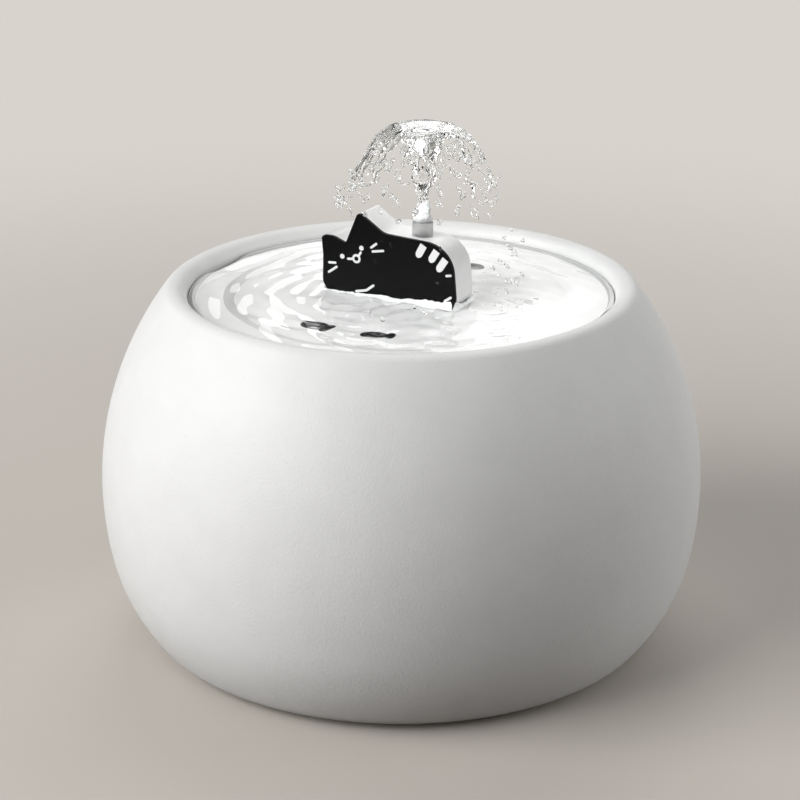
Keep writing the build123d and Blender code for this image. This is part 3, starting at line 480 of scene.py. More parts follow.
# %% Define the tools
def made_plain(piece):
    """Turns a piece's modifiers into its mesh."""
    graph = bpy.context.evaluated_depsgraph_get()
    mesh = bpy.data.meshes.new_from_object(piece.evaluated_get(graph))
    piece.modifiers.clear()
    piece.data = mesh
    mesh.name = piece.name
    return piece


def stands_for(piece, node):
    """The piece takes a solid's place: its body and the finish of its slot."""
    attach(piece, frame["nodes"][node]["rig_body"])
    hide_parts(node)
    piece.data.materials.clear()
    piece.data.materials.append(FINISHES[slot_of[node]])


def copy_of(node):
    """A solid's shape as an editable bmesh with shared corners and whole flat faces."""
    shape = bmesh.new()
    shape.from_mesh(frame["nodes"][node].data)
    bmesh.ops.remove_doubles(shape, verts=shape.verts, dist=0.001 * MM)
    bmesh.ops.dissolve_limit(shape, angle_limit=radians(0.4), verts=shape.verts, edges=shape.edges)
    return shape


def as_mesh(shape, name):
    """Closes a bmesh into a mesh that is shaded smooth, without the solid's own normals."""
    mesh = bpy.data.meshes.new(name)
    shape.to_mesh(mesh)
    shape.free()
    for layer in [a for a in mesh.attributes if a.name == "custom_normal"]:
        mesh.attributes.remove(layer)
    mesh.shade_smooth()
    return mesh


print("tools ready")

# %% [markdown]
# ## Rounded edges
# No moulded edge is sharp: the steel has a radius and the part comes out with it. That thin curve
# is what catches the light and draws an object's outline. Rounding could be faked in the shader,
# but real geometry also holds in the exported mesh, so each copy gets a bevel with a few segments.

# %% Round the edges of the moulded parts
EDGE_RADII = {  # node: (piece, edge radius in mm)
    "tray": ("drinking_tray", 0.2),
    "cord_grommet": ("lead_grommet", 0.2),
    "nozzle_tip": ("clear_nozzle", 0.1),
    "riser_tube": ("clear_riser", 0.15),
    "riser_seal": ("riser_ring", 0.05),
    "impeller": ("pump_impeller", 0.12),
    "impeller_magnet": ("rotor_magnet", 0.3),
    "impeller_shaft": ("rotor_shaft", 0.12),
    "shaft_bushes": ("rotor_bushes", 0.1),
    "suction_cups": ("pump_cups", 0.15),
    "lead_gland": ("pump_gland", 0.2),
    "pump_sponge": ("foam_disc", 0.5),
    "cat_shell": ("cat_cover", 0.12),
    "cat_face_plate": ("cat_front", 0.16),
    "cat_base": ("cat_plug", 0.25),
    "filter_hanger": ("bayonet_ring", 0.3),
    "filter_basket": ("media_basket", 0.3),
    "filter_lid": ("media_lid", 0.25),
    "pump_housing": ("pump_body", 0.4),
    "volute_cover": ("pump_cover", 0.25),
    "strainer_cap": ("pump_strainer", 0.2),
    "flow_knob": ("regulator_knob", 0.25),
    "flow_shutter": ("regulator_shutter", 0.15),
}
EDGE_ANGLE = 26  # sharper corners than this get rounded
for node, (name, radius) in EDGE_RADII.items():
    piece = new_piece(name, as_mesh(copy_of(node), name))
    edge = piece.modifiers.new("edge", "BEVEL")
    edge.width, edge.segments = radius * MM, 3
    edge.limit_method, edge.angle_limit = "ANGLE", radians(EDGE_ANGLE)
    edge.harden_normals = True
    stands_for(made_plain(piece), node)
    print(name, len(piece.data.polygons), "faces")

# %% [markdown]
# ## Turning a section on a lathe
# Bowls, pads, jets and drops are round, so each is a section turned about the upright axis. The
# Screw modifier could do it. Geometry Nodes do the same from a grid: one side of the grid runs along
# the section and the other side round the axis, so the count of steps stays a plain input.


# %% Build the lathe
def new_tree(name, **inputs):
    """A node group with named inputs. Returns it and the outputs of its input node."""
    tree = bpy.data.node_groups.new(name, "GeometryNodeTree")
    for label, sort in inputs.items():
        tree.interface.new_socket(label, in_out="INPUT", socket_type="NodeSocket" + sort)
    tree.interface.new_socket("Result", in_out="OUTPUT", socket_type="NodeSocketGeometry")
    return tree, add(tree, "NodeGroupInput").outputs


def end_tree(tree, geometry, finish):
    """Ends a tree as the export needs it: instances made real, and one finish set."""
    real = add(tree, "GeometryNodeRealizeInstances", {0: geometry})
    coated = add(tree, "GeometryNodeSetMaterial", {0: real, 2: finish})
    add(tree, "NodeGroupOutput", {0: coated})


def grown(piece, tree, **values):
    """Runs a tree on a piece, with its inputs set by identifier, and keeps the plain mesh."""
    modifier = piece.modifiers.new(tree.name, "NODES")
    modifier.node_group = tree
    for item in tree.interface.items_tree:
        if item.name in values:
            modifier[item.identifier] = values[item.name]
    return made_plain(piece)


lathe, given = new_tree("lathe", Section="Geometry", Steps="Int", Finish="Material")
count = add(lathe, "GeometryNodeAttributeDomainSize", {0: given["Section"]}, component="MESH")
last = add(lathe, "ShaderNodeMath", {0: count, 1: 1.0}, operation="SUBTRACT")
rows = add(lathe, "ShaderNodeMath", {0: given["Steps"], 1: 1.0}, operation="ADD")
grid = add(lathe, "GeometryNodeMeshGrid", {0: last, 1: tau, 2: count, 3: rows})
where = add(lathe, "ShaderNodeSeparateXYZ", {0: add(lathe, "GeometryNodeInputPosition")})
half = add(lathe, "ShaderNodeMath", {0: last, 1: 0.5}, operation="MULTIPLY")
along = add(lathe, "ShaderNodeMath", {0: where.outputs["X"], 1: half}, operation="ADD")
number = add(lathe, "ShaderNodeMath", {0: along}, operation="ROUND")
corner = {0: given["Section"], 1: add(lathe, "GeometryNodeInputPosition"), 2: number}
corner = add(lathe, "GeometryNodeSampleIndex", corner, data_type="FLOAT_VECTOR")
swung = {"Vector": corner, "Angle": where.outputs["Y"]}
swung = add(lathe, "ShaderNodeVectorRotate", swung, rotation_type="Z_AXIS")
spun = add(lathe, "GeometryNodeSetPosition", {0: grid, 2: swung})
closed = add(lathe, "GeometryNodeMergeByDistance", {0: spun, 2: 0.002 * MM})
end_tree(lathe, add(lathe, "GeometryNodeSetShadeSmooth", {0: closed}), given["Finish"])


def turned(name, section, steps, finish, middle=(0, 0)):
    """A closed piece from a section of (radius, height) corners in mm, about an upright axis."""
    edges = [(i, i + 1) for i in range(len(section) - 1)]
    piece = piece_of(name, [(r * MM, 0, z * MM) for r, z in section], edges=edges)
    grown(piece, lathe, Steps=steps, Finish=finish)
    shape = bmesh.new()
    shape.from_mesh(piece.data)
    bmesh.ops.dissolve_degenerate(shape, edges=shape.edges, dist=0.001 * MM)
    bmesh.ops.recalc_face_normals(shape, faces=shape.faces)
    bmesh.ops.translate(shape, verts=shape.verts, vec=(middle[0] * MM, middle[1] * MM, 0))
    shape.to_mesh(piece.data)
    shape.free()
    piece.data.shade_smooth()
    return piece


print("lathe nodes:", len(lathe.nodes))

# %% [markdown]
# ## The bowl
# The real bowl is cast in a plaster mould and its section is a chain of arcs that pass smoothly into
# each other: foot, lower belly, upper belly and a half-round lip. Sculpting would lose that. Here a
# small pen walks along the section with a heading, and each arc is a radius and an angle to turn.


# %% Draw the bowl's section
def walk(pen, heading, radius, turn, steps):
    """Adds an arc to a section. Positive turns go left. Returns the new heading in degrees."""
    x, z = pen[-1]
    side = 1 if turn > 0 else -1
    centre = (x - side * radius * sin(radians(heading)), z + side * radius * cos(radians(heading)))
    for i in range(1, steps + 1):
        angle = radians(heading + turn * i / steps - 90 * side)
        pen.append((centre[0] + radius * cos(angle), centre[1] + radius * sin(angle)))
    return heading + turn


FOOT_R, FOOT_Z, WALL = 83.5, 1.0, 4.5
BELLY_ARCS = ((13.4, 51.65, 12), (68.995, 26.35, 14), (119.542, 49.5, 40))  # radius, turn, steps
LIP_R, LIP_TURN, LIP_STEPS = 4.66, 142.5, 26
SEAT_R, LEDGE_Z, THROAT_R, THROAT_Z = 76.94, 125.0, 72.54, 121.0
INNER_TURN = 41.47  # upper belly arc on the inside, up to the slope under the ledge
EDGE_R = 0.6  # glaze rounds every corner at least this much

outside = [(0, FOOT_Z), (FOOT_R, FOOT_Z)]
heading = 0
for radius, turn, steps in BELLY_ARCS:
    heading = walk(outside, heading, radius, turn, steps)
walk(outside, heading, LIP_R, LIP_TURN, LIP_STEPS)
inside = [(FOOT_R, FOOT_Z + WALL)]
heading = 0
for (radius, turn, steps), end in zip(BELLY_ARCS, (None, None, INNER_TURN)):
    heading = walk(inside, heading, radius - WALL, end or turn, steps)


def eased(corner, before, after, steps=5):
    """A corner of a section cut by EDGE_R and rounded towards its neighbours."""
    corner = Vector(corner)
    start, end = [corner + (Vector(side) - corner).normalized() * EDGE_R for side in (before, after)]
    shares = [i / steps for i in range(steps + 1)]
    return [tuple((1 - t) ** 2 * start + 2 * t * (1 - t) * corner + t * t * end) for t in shares]


ledge = [outside[-1], (SEAT_R, LEDGE_Z), (THROAT_R, LEDGE_Z), (THROAT_R, THROAT_Z), inside[-1]]
section = outside
for before, corner, after in zip(ledge, ledge[1:], ledge[2:]):
    section = section + eased(corner, before, after)
section = section + inside[::-1] + [(0, FOOT_Z + WALL)]
print("section corners:", len(section), "| lip top", round(max(z for _, z in section), 2), "mm")

# %% [markdown]
# ## Casting the bowl
# The section is turned in fine steps, so that the outline stays round in a close view. The lead's
# hole and the recesses of the pads are cut with a Boolean, as a drill cuts them in the real one.

# %% Turn the bowl and cut its holes
PAD_R, PAD_CIRCLE_R, PAD_COUNT = 8.0, 66.0, 4
RECESS_R, RECESS_Z = PAD_R + 0.1, 2.5
BORE_R, BORE_HALF, BORE_LEAN = 5, 10, -69
BOWL_STEPS, HOLE_STEPS = 288, 64
bowl_piece = turned("glazed_bowl", section, BOWL_STEPS, glaze)
cutters = []
recess = [(0, -1), (RECESS_R, -1), (RECESS_R, RECESS_Z), (0, RECESS_Z)]
for i in range(PAD_COUNT):
    middle = (PAD_CIRCLE_R * cos(tau * i / PAD_COUNT), PAD_CIRCLE_R * sin(tau * i / PAD_COUNT))
    cutters.append(turned("recess", recess, HOLE_STEPS, glaze, middle))
bore = [(0, -BORE_HALF), (BORE_R, -BORE_HALF), (BORE_R, BORE_HALF), (0, BORE_HALF)]
drill = turned("drill", bore, HOLE_STEPS, glaze)
grommet_low, grommet_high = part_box("cord_grommet")
aim = Matrix.Translation((grommet_low + grommet_high) / 2)
drill.data.transform(aim @ Matrix.Rotation(radians(BORE_LEAN), 4, "X"))
cutters.append(drill)
for cutter in cutters:
    cut = bowl_piece.modifiers.new("cut", "BOOLEAN")
    cut.object, cut.solver = cutter, "EXACT"
stands_for(made_plain(bowl_piece), "bowl")
for cutter in cutters:
    bpy.data.objects.remove(cutter)
bowl_piece.data.set_sharp_from_angle(angle=radians(40))
print("bowl faces:", len(bowl_piece.data.polygons))

# %% [markdown]
# ## Four pads under the foot
# Rubber feet are one moulding used four times, with ribs that grip the table. Geometry Nodes place
# the copies: a circle of points, an instance on each.

# %% Place the pads
PAD_TOP = [(0, 2.5), (7.7, 2.5), (8.0, 2.2), (8.0, 0.6)]
OUTER_RIB = [(7.4, 0.0), (6.6, 0.0), (6.3, 0.35), (5.5, 0.35)]
INNER_RIB = [(5.2, 0.0), (4.4, 0.0), (4.1, 0.35), (3.3, 0.35)]
pad = turned("pad", PAD_TOP + OUTER_RIB + INNER_RIB + [(3.0, 0.0), (0, 0)], 64, dark_rubber)
ring, given = new_tree(
    "copies on a ring", Unused="Geometry", Copy="Object", Count="Int", Radius="Float", Finish="Material"
)
points = add(ring, "GeometryNodeMeshCircle", {0: given["Count"], 1: given["Radius"]})
shown = add(ring, "GeometryNodeObjectInfo", {0: given["Copy"]}).outputs["Geometry"]
copies = add(ring, "GeometryNodeInstanceOnPoints", {"Points": points, "Instance": shown})
end_tree(ring, copies, given["Finish"])
pads = piece_of("grip_pads", [])
grown(pads, ring, Copy=pad, Count=PAD_COUNT, Radius=PAD_CIRCLE_R * MM, Finish=dark_rubber)
stands_for(pads, "foot_pads")
pads.data.shade_smooth()
pads.data.set_sharp_from_angle(angle=radians(35))
bpy.data.objects.remove(pad)
print("pads:", PAD_COUNT, "| faces:", len(pads.data.polygons))

# %% [markdown]
# ## Grains, beads and fibres
# A bed of filter media is thousands of loose bodies. Texture alone looks painted once light comes in
# low through the slots, so the face that shows gets real ones. Geometry Nodes scatter them: points
# on the faces that look the right way, a turned and scaled copy on each, and the slab behind.
# Only the visible skin of a bed is made, and grains a little coarser than real ones, which keeps
# the count in hand.

# %% Build the scatter tree
scatter, given = new_tree(
    "loose media", Bed="Geometry", Grain="Object", Density="Float", Smallest="Float", Largest="Float",
    Facing="Float", Tilt="Vector", Seed="Int", Finish="Material",
)
up = add(scatter, "ShaderNodeSeparateXYZ", {0: add(scatter, "GeometryNodeInputNormal")}).outputs["Z"]
faced = add(scatter, "ShaderNodeMath", {0: up, 1: given["Facing"]}, operation="MULTIPLY")
chosen = add(scatter, "ShaderNodeMath", {0: faced, 1: 0.5}, operation="GREATER_THAN")
seed = {"Seed": given["Seed"]}
strewn = {"Mesh": given["Bed"], "Selection": chosen, "Density": given["Density"], **seed}
strewn = add(scatter, "GeometryNodeDistributePointsOnFaces", strewn)
turn = add(scatter, "FunctionNodeRandomValue", {1: given["Tilt"], **seed}, data_type="FLOAT_VECTOR")
scale = add(scatter, "FunctionNodeRandomValue", {2: given["Smallest"], 3: given["Largest"], **seed})
grain = add(scatter, "GeometryNodeObjectInfo", {0: given["Grain"]}).outputs["Geometry"]
copies = {"Points": strewn, "Instance": grain, "Rotation": turn, "Scale": scale}
joined = add(scatter, "GeometryNodeJoinGeometry", {0: given["Bed"]})
feed(joined, {0: add(scatter, "GeometryNodeInstanceOnPoints", copies)})
end_tree(scatter, joined, given["Finish"])
print("scatter nodes:", len(scatter.nodes))

# %% [markdown]
# ## One grain of each
# Crushed carbon has flat broken facets, resin is poured as tiny spheres, and cotton is a bent
# thread. Each is drawn once with a few dozen faces at most, because every copy repeats them.


# %% Draw a grain, a bead and a fibre
def lump():
    """Crushed carbon: a 20-faced ball with its corners pushed in and out."""
    shape = bmesh.new()
    bmesh.ops.create_icosphere(shape, subdivisions=1, radius=1)
    for corner in shape.verts:
        corner.co *= 0.85 + 0.45 * noise.noise(corner.co * 3.1)
    mesh = bpy.data.meshes.new("lump")
    shape.to_mesh(mesh)
    shape.free()
    return new_piece("lump", mesh)


def bead():
    """Resin bead: a coarse ball, shaded smooth."""
    shape = bmesh.new()
    bmesh.ops.create_uvsphere(shape, u_segments=8, v_segments=5, radius=1)
    return new_piece("bead", as_mesh(shape, "bead"))


def ring_faces(rows, turns):
    """Four-sided faces between closed rings of corners, ring after ring."""
    for i in range(rows):
        for j in range(turns):
            a, b = i * turns + j, i * turns + (j + 1) % turns
            yield a, a + turns, b + turns, b


def fibre_arc(steps=6, sides=3, thickness=0.035):
    """Cotton fibre: a three-sided thread bent into a third of a circle, one unit long."""
    corners = []
    for i in range(steps + 1):
        angle = radians(120) * (i / steps - 0.5)
        thin = thickness * sqrt(max(0.15, 1 - (2 * i / steps - 1) ** 2))
        for j in range(sides):
            out = 0.48 + thin * cos(tau * j / sides)
            corners.append((out * sin(angle), thin * sin(tau * j / sides), out * cos(angle) - 0.42))
    faces = [(a, b, c, d) for a, d, c, b in ring_faces(steps, sides)]
    faces += [tuple(range(sides))[::-1], tuple(range(steps * sides, (steps + 1) * sides))]
    fibre = piece_of("fibre", corners, faces)
    fibre.data.shade_smooth()
    return fibre


def sunk(node, depth):
    """A solid's copy with its skin drawn in by depth mm, so that what lies on it ends flush."""
    shape = copy_of(node)
    shape.normal_update()
    moves = {corner: corner.normal * depth * MM for corner in shape.verts}
    for corner, move in moves.items():
        corner.co -= move
    return as_mesh(shape, node)


grains = {"lump": lump(), "bead": bead(), "fibre": fibre_arc()}
print({name: len(grain.data.polygons) for name, grain in grains.items()})

# %% [markdown]
# ## Filling the beds
# Resin shows through the basket's floor, so its beads face down. Cotton shows through the lid, so
# its fibres face up and lie nearly flat.

# %% Scatter the media
TURNS = (tau, tau, tau)
BEDS = {  # node: piece, grain, per cm2, smallest and largest size in mm, facing, tilt
    "filter_resin": ("resin_bed", "bead", 36, 0.45, 0.68, -1.0, TURNS),
    "filter_carbon": ("carbon_bed", "lump", 60, 0.6, 1.0, 1.0, TURNS),
    "filter_cotton": ("cotton_pad", "fibre", 60, 1.6, 3.6, 1.0, (0.5, 0.5, tau)),
}
SQUARE_CM = 1e-4
SKIN = 0.4  # depth in mm that the grains fill again
for seed, (node, row) in enumerate(BEDS.items(), start=11):
    name, grain, per_cm2, smallest, largest, facing, tilt = row
    bed_piece = new_piece(name, sunk(node, SKIN))
    grown(
        bed_piece, scatter, Grain=grains[grain], Density=per_cm2 / SQUARE_CM, Smallest=smallest * MM,
        Largest=largest * MM, Facing=facing, Tilt=tilt, Seed=seed, Finish=FINISHES[slot_of[node]],
    )
    stands_for(bed_piece, node)
    print(name, len(bed_piece.data.polygons), "faces")
for grain in grains.values():
    bpy.data.objects.remove(grain)

# %% [markdown]
# ## Water
# Water isn't part of the product, like the floor, but the fountain is only understood with it. Its
# shader is a clear dielectric with the index of water. Light that passes through a refracting surface
# on its way to a lamp would count as blocked, so for shadow rays alone the water is simply
# transparent. Froth is water that took in air, white because its bubbles throw all light back.

# %% Mix the water
WATER_IOR = 1.333
water, tree, shader, spot = new_finish("tap water", IOR=WATER_IOR, Transmission_Weight=1.0, Roughness=0.0)
tint = add(tree, "ShaderNodeTexNoise", {"Vector": spot, "Scale": per_mm(20)})
dress(shader, (tint, "#fbfdfd", "#ffffff"), None)
shadow = add(tree, "ShaderNodeLightPath").outputs["Is Shadow Ray"]
passing = add(tree, "ShaderNodeBsdfTransparent", {"Color": "#fafcfc"})
either = add(tree, "ShaderNodeMixShader", {0: shadow, 1: shader, 2: passing})
feed(tree.nodes["Material Output"], {"Surface": either})
froth, tree, shader, spot = new_finish("froth", IOR=WATER_IOR, Roughness=0.2)
bubble = add(tree, "ShaderNodeTexVoronoi", {"Vector": spot, "Scale": per_mm(0.5)})
dress(shader, (bubble, "#eeeeee", "#dfe1e1"), None, (bubble, 0.15))


def staged_water(piece, body, finish=water):
    """Gives water its finish and smooth shading, and lets it move with what carries it.
    Water moves with what carries it and stays out of the object's table and export.
    """
    piece.data.materials.clear()
    piece.data.materials.append(finish)
    piece.data.shade_smooth()
    piece.parent = frame["bodies"][body]


print(water.name, "IOR", WATER_IOR)

# %% [markdown]
# ## Rings and swell
# The tray is brim full. Where the bell falls in it sends out rings, and the rings cross. A fluid
# simulation could find them. A sum of a few fading waves and a noise is as good for a still picture
# and costs nothing. Against the cat's foot the water climbs, more to the right than to the left.

# %% Make the waves
NOZZLE_X, LEVEL = 8.6, 129.3
CAT_X, CAT_Y = (-28.8, 25.4), (-7.2, 7.2)  # from and to, at the cover's foot
SPLASHES, SPLASH_R, SPLASH_STRAY = 9, 27, 6
RING_HEIGHT, RING_REACH, RING_START, RING_LENGTH = 0.13, 50, 4, 7.5
SWELL, SWELL_LENGTH, SWELL_LOBES = 0.7, 7.5, 2.6
CLIMB, CLIMB_WIDTH, LUMP = 0.9, 1.6, 6.5
HEAP_SLOPE, HEAP_LEAST, HEAP_SINKS, HEAP_STARTS = 0.055, -1.1, 0.3, 5
splashes = []
for i in range(SPLASHES):
    angle = tau * (i + 0.35 * noise.noise(Vector((i, 3.3, 0)))) / SPLASHES
    reach = SPLASH_R + SPLASH_STRAY * noise.noise(Vector((i, 7.7, 0)))
    x, y = NOZZLE_X + reach * cos(angle), reach * sin(angle)
    splashes.append((x, y, RING_LENGTH + (i * 7) % 5, i * 1.7))


def lumps(x, y, size, layer):
    """Unevenness between -1 and 1, in lumps about size mm wide."""
    return noise.noise(Vector((x / size, y / size, layer)))


def heap(x, y):
    """How much higher in mm the water stands against the cat's front, more to the right."""
    return max(HEAP_LEAST, HEAP_SLOPE * x) * max(0, min(1, -y / HEAP_STARTS)) - HEAP_SINKS


def wave(x, y):
    """Height of the water over its level, in mm."""
    height = 0.0
    for at_x, at_y, length, phase in splashes:
        away = hypot(x - at_x, y - at_y)
        ring = sin(tau * away / length + phase) * exp(-away / RING_REACH)
        height += RING_HEIGHT * ring * min(1, away / RING_START)
    around, reach = atan2(y, x - NOZZLE_X), hypot(x - NOZZLE_X, y)
    lobes = (SWELL_LOBES * cos(around), SWELL_LOBES * sin(around), reach / SWELL_LENGTH)
    height += SWELL * noise.noise(Vector(lobes))
    to_cat = hypot(max(CAT_X[0] - x, 0, x - CAT_X[1]), max(CAT_Y[0] - y, 0, y - CAT_Y[1]))
    climb = CLIMB + lumps(x, y, LUMP, 2) + heap(x, y)
    return height + max(0, climb) * exp(-((to_cat / CLIMB_WIDTH) ** 2))


print("splashes:", len(splashes), "| wave at the nozzle", round(wave(NOZZLE_X, 0), 2), "mm")

# %% [markdown]
# ## The film on the tray
# A grid of radius and angle follows the tray's round shape. Above, its height is the wave's. Below,
# the film follows the tray's floor just inside the plastic, so no air is left between, and it drops
# into the four drains. The two skins meet in a rim, so the mesh is closed.

# %% Shape the film
RIM_R, NOTCH_X, SHELF_Z = 74.55, 73.8, 129.0
FLOOR_Z, FLOOR_R, SLOPE_R, SHELF_IN_Z = 126.3, 60.14, 64.14, 128.6
DRAIN_BOTTOM, DRAIN_HALF_LONG, DRAIN_HALF_WIDE = 123.9, 6.6, 4.2
INSIDE_PLASTIC, THINNEST, RIM_FILM = 0.06, 0.05, 0.1
ROLL = 1.4  # width over which the film rolls down to the rim
FILM_RINGS, FILM_TURNS, HOLE = 190, 420, 0.02  # the innermost ring is this share of a ring wide


def bed_height(x, y, radius):
    """Underside of the film: drains, floor, slope or shelf, a hair inside the plastic."""
    for angle in DRAIN_ANGLES:
        drain = Vector((DRAIN_CIRCLE_R * cos(radians(angle)), DRAIN_CIRCLE_R * sin(radians(angle))))
        away = Vector((x, y)) - drain
        along = away.dot(Vector((-sin(radians(angle)), cos(radians(angle)))))
        across = sqrt(max(0, away.length_squared - along**2))
        if hypot(along / DRAIN_HALF_LONG, across / DRAIN_HALF_WIDE) < 1:
            return DRAIN_BOTTOM
    if radius < FLOOR_R:
        return FLOOR_Z - INSIDE_PLASTIC
    share = (radius - FLOOR_R) / (SLOPE_R - FLOOR_R)
    if share < 1:
        return FLOOR_Z + share * (SHELF_IN_Z - FLOOR_Z) - INSIDE_PLASTIC
    share = (radius - SLOPE_R) / (RIM_R - SLOPE_R)
    return SHELF_IN_Z + share * (SHELF_Z - SHELF_IN_Z) - INSIDE_PLASTIC


def film_height(x, y, low, from_rim):
    """Top of the film in mm, rolled down where it nears the rim."""
    edge = min(1, from_rim / ROLL)
    lift = LEVEL + wave(x, y) * edge - SHELF_Z - RIM_FILM
    return max(low + THINNEST, SHELF_Z + RIM_FILM + lift * edge * (2 - edge))


corners = []
for under in (False, True):
    for i in range(FILM_RINGS + 1):
        for j in range(FILM_TURNS):
            angle = tau * j / FILM_TURNS
            limit = min(RIM_R, NOTCH_X / max(1e-6, abs(cos(angle))))
            radius = limit * (i + HOLE) / (FILM_RINGS + HOLE)
            x, y = radius * cos(angle), radius * sin(angle)
            low = bed_height(x, y, radius)
            z = low if under else film_height(x, y, low, limit - radius)
            corners.append((x * MM, y * MM, z * MM))
skin_size = (FILM_RINGS + 1) * FILM_TURNS
faces = []
for top in ring_faces(FILM_RINGS, FILM_TURNS):
    faces += [top, tuple(n + skin_size for n in reversed(top))]
rim = [FILM_RINGS * FILM_TURNS + j for j in range(FILM_TURNS)]
for a, b in zip(rim, rim[1:] + rim[:1]):
    faces.append((a, a + skin_size, b + skin_size, b))
middle = tuple(range(FILM_TURNS))
faces += [middle, tuple(n + skin_size for n in reversed(middle))]
staged_water(piece_of("film", corners, faces), "tray")
print("film faces:", len(faces))

# %% [markdown]
# ## White water at the cat's foot
# The rings break against the cover, climb it and leave a rope of froth there. It is swept round the
# cover's outline at the water line, thick and thin by turns. The outline is a superellipse, because
# one formula gives its straight sides and its small round corners.

# %% Lay the froth
ROPE_TURNS, ROPE_SIDES, SQUARENESS = 1100, 10, 10
ROPE_OFF = 0.35  # between the cover and the middle of the rope
ROPE_LOW = LEVEL - 2.9  # its underside stays down at the tray's floor
ROPE_HIGH = LEVEL + 1.1
FINE_LUMP, FINE_SHARE = 1.3, 0.45  # smaller lumps on the large ones, and how strong they are
rope_x, rope_y = [(high - low) / 2 + ROPE_OFF for low, high in (CAT_X, CAT_Y)]
corners = []
for i in range(ROPE_TURNS):
    angle = tau * i / ROPE_TURNS
    way = Vector((cos(angle), sin(angle)))
    reach = (abs(way.x / rope_x) ** SQUARENESS + abs(way.y / rope_y) ** SQUARENESS) ** (-1 / SQUARENESS)
    middle = way * reach + Vector((sum(CAT_X) / 2, 0))
    lumpy = lumps(*middle, LUMP, 2) + FINE_SHARE * lumps(*middle, FINE_LUMP, 7)
    crest = ROPE_HIGH + lumpy + heap(*middle)
    foot = ROPE_LOW + 0.5 * lumps(*middle, 4.2, 5)
    tall, wide = max(0.4, (crest - foot) / 2), max(0.15, 0.3 + 0.6 * lumpy)
    for j in range(ROPE_SIDES):
        out = middle + way * wide * cos(tau * j / ROPE_SIDES)
        z = crest - tall + tall * sin(tau * j / ROPE_SIDES)
        corners.append((out.x * MM, out.y * MM, z * MM))
faces = [tuple(n % len(corners) for n in face) for face in ring_faces(ROPE_TURNS, ROPE_SIDES)]
staged_water(piece_of("foot_froth", corners, faces), "tray", froth)
print("froth faces:", len(faces))

# %% [markdown]
# ## The jet
# The jet leaves the nozzle as a wobbling column and opens at its top like a trumpet, with a crown of
# froth where it starts. Both are turned on the lathe and then bent by a noise, which leaves them as
# they are at the nozzle. The jet is bent only a little at its top, so that it still meets the bell.

# %% Turn the jet
noise.seed_set(1)  # noise_vector starts from the clock otherwise, and each run's jet would differ
NOZZLE_Z, JET_TOP = 157.3, 188  # the wobble grows above the first and dies down below the second
WOBBLE, WOBBLE_LENGTH = 2.0, 3.0
COLUMN = [(0, 0), (2.6, 0), (3.0, 1.2), (2.4, 3.4), (2.1, 6), (2.3, 9), (2.7, 12), (3.3, 15)]
FLARE = [(3.9, 18), (4.4, 21), (5.0, 24), (6.0, 26.8), (7.4, 29.4), (9.0, 31.6)]
TRUMPET = [(10.9, 33.2), (10.8, 34.1), (8.6, 34.8), (5, 35.0), (0, 35.0)]
CROWN = [
    (0, 0.1), (2.7, 0.1), (3.5, 0.9), (3.2, 2.0), (2.7, 3.2), (2.5, 4.4), (1.9, 5.6), (1.0, 6.6), (0, 7.0),
]
to_nozzle = Matrix.Translation((NOZZLE_X * MM, 0, 0))
jet = turned("jet", [(r, NOZZLE_Z + z) for r, z in COLUMN + FLARE + TRUMPET], 64, water)
smooth = jet.modifiers.new("smooth", "SUBSURF")
smooth.levels = smooth.render_levels = 2
made_plain(jet)
for corner in jet.data.vertices:
    spot = corner.co / MM
    slack = min(1, (spot.z - NOZZLE_Z) / 4) * min(1, max(0.2, (JET_TOP - spot.z) / 6))
    swirl = noise.noise_vector(Vector((spot.x, spot.y, spot.z * 0.6)) / WOBBLE_LENGTH) * WOBBLE
    corner.co += Vector((swirl.x, swirl.y, 0.5 * swirl.z)) * MM * slack
jet.data.transform(to_nozzle)
staged_water(jet, "cat")
crown = turned("crown", [(r, NOZZLE_Z + z) for r, z in CROWN], 48, froth)
for corner in crown.data.vertices:
    slack = (corner.co.z / MM - NOZZLE_Z) / 8
    corner.co += noise.noise_vector(corner.co / (2.1 * MM)) * 2.4 * MM * slack
crown.data.transform(to_nozzle)
staged_water(crown, "cat", froth)
print("jet top", round(max(v.co.z for v in jet.data.vertices) / MM, 1), "mm")

# %% [markdown]
# ## The bell
# The jet falls back as a thin bell. Gravity pulls the sheet apart: it wrinkles, tears into holes,
# hangs on as threads and ends in drops. The bell is a sheet whose faces are left out where a noise
# says that it tore, then given a thickness and smoothed, which rounds every torn edge.

# %% Tear the bell
BELL = [
    (9.5, 191.7), (12.0, 190.9), (14.6, 189.3), (17.6, 186.3), (20.7, 182.2),
    (23.2, 177.4), (25.2, 172.8), (26.6, 168.0), (28.2, 163.2),
]  # radius and height in mm, from its top down
BELL_ROWS, BELL_TURNS, SHEET = 100, 420, 0.95
BELL_OPEN = -62  # degrees round the axis where the sheet tears first
HELD, HELD_LESS = 0.36, 0.12  # share of its fall down to which it mostly holds, and how much less there


def on_bell(share):
    """Radius and height of the bell, share 0 at its top and 1 at its lower end."""
    spot = share * (len(BELL) - 1)
    i = min(int(spot), len(BELL) - 2)
    return Vector(BELL[i]).lerp(Vector(BELL[i + 1]), spot - i)


def cylinder_noise(angle, size, height):
    """Noise that closes on itself round the axis."""
    return noise.noise(Vector((cos(angle) * size, sin(angle) * size, height)))


def torn(share, angle):
    """Whether the sheet has a hole there."""
    z = on_bell(share)[1]
    tear = cylinder_noise(angle, 6, z / 4.5) + 0.6 * cylinder_noise(angle, 13, z / 3.4 + 40)
    held = HELD - HELD_LESS * cos(angle - radians(BELL_OPEN))
    return tear >= (held - share) * (2.4 if share < held else 0.75)


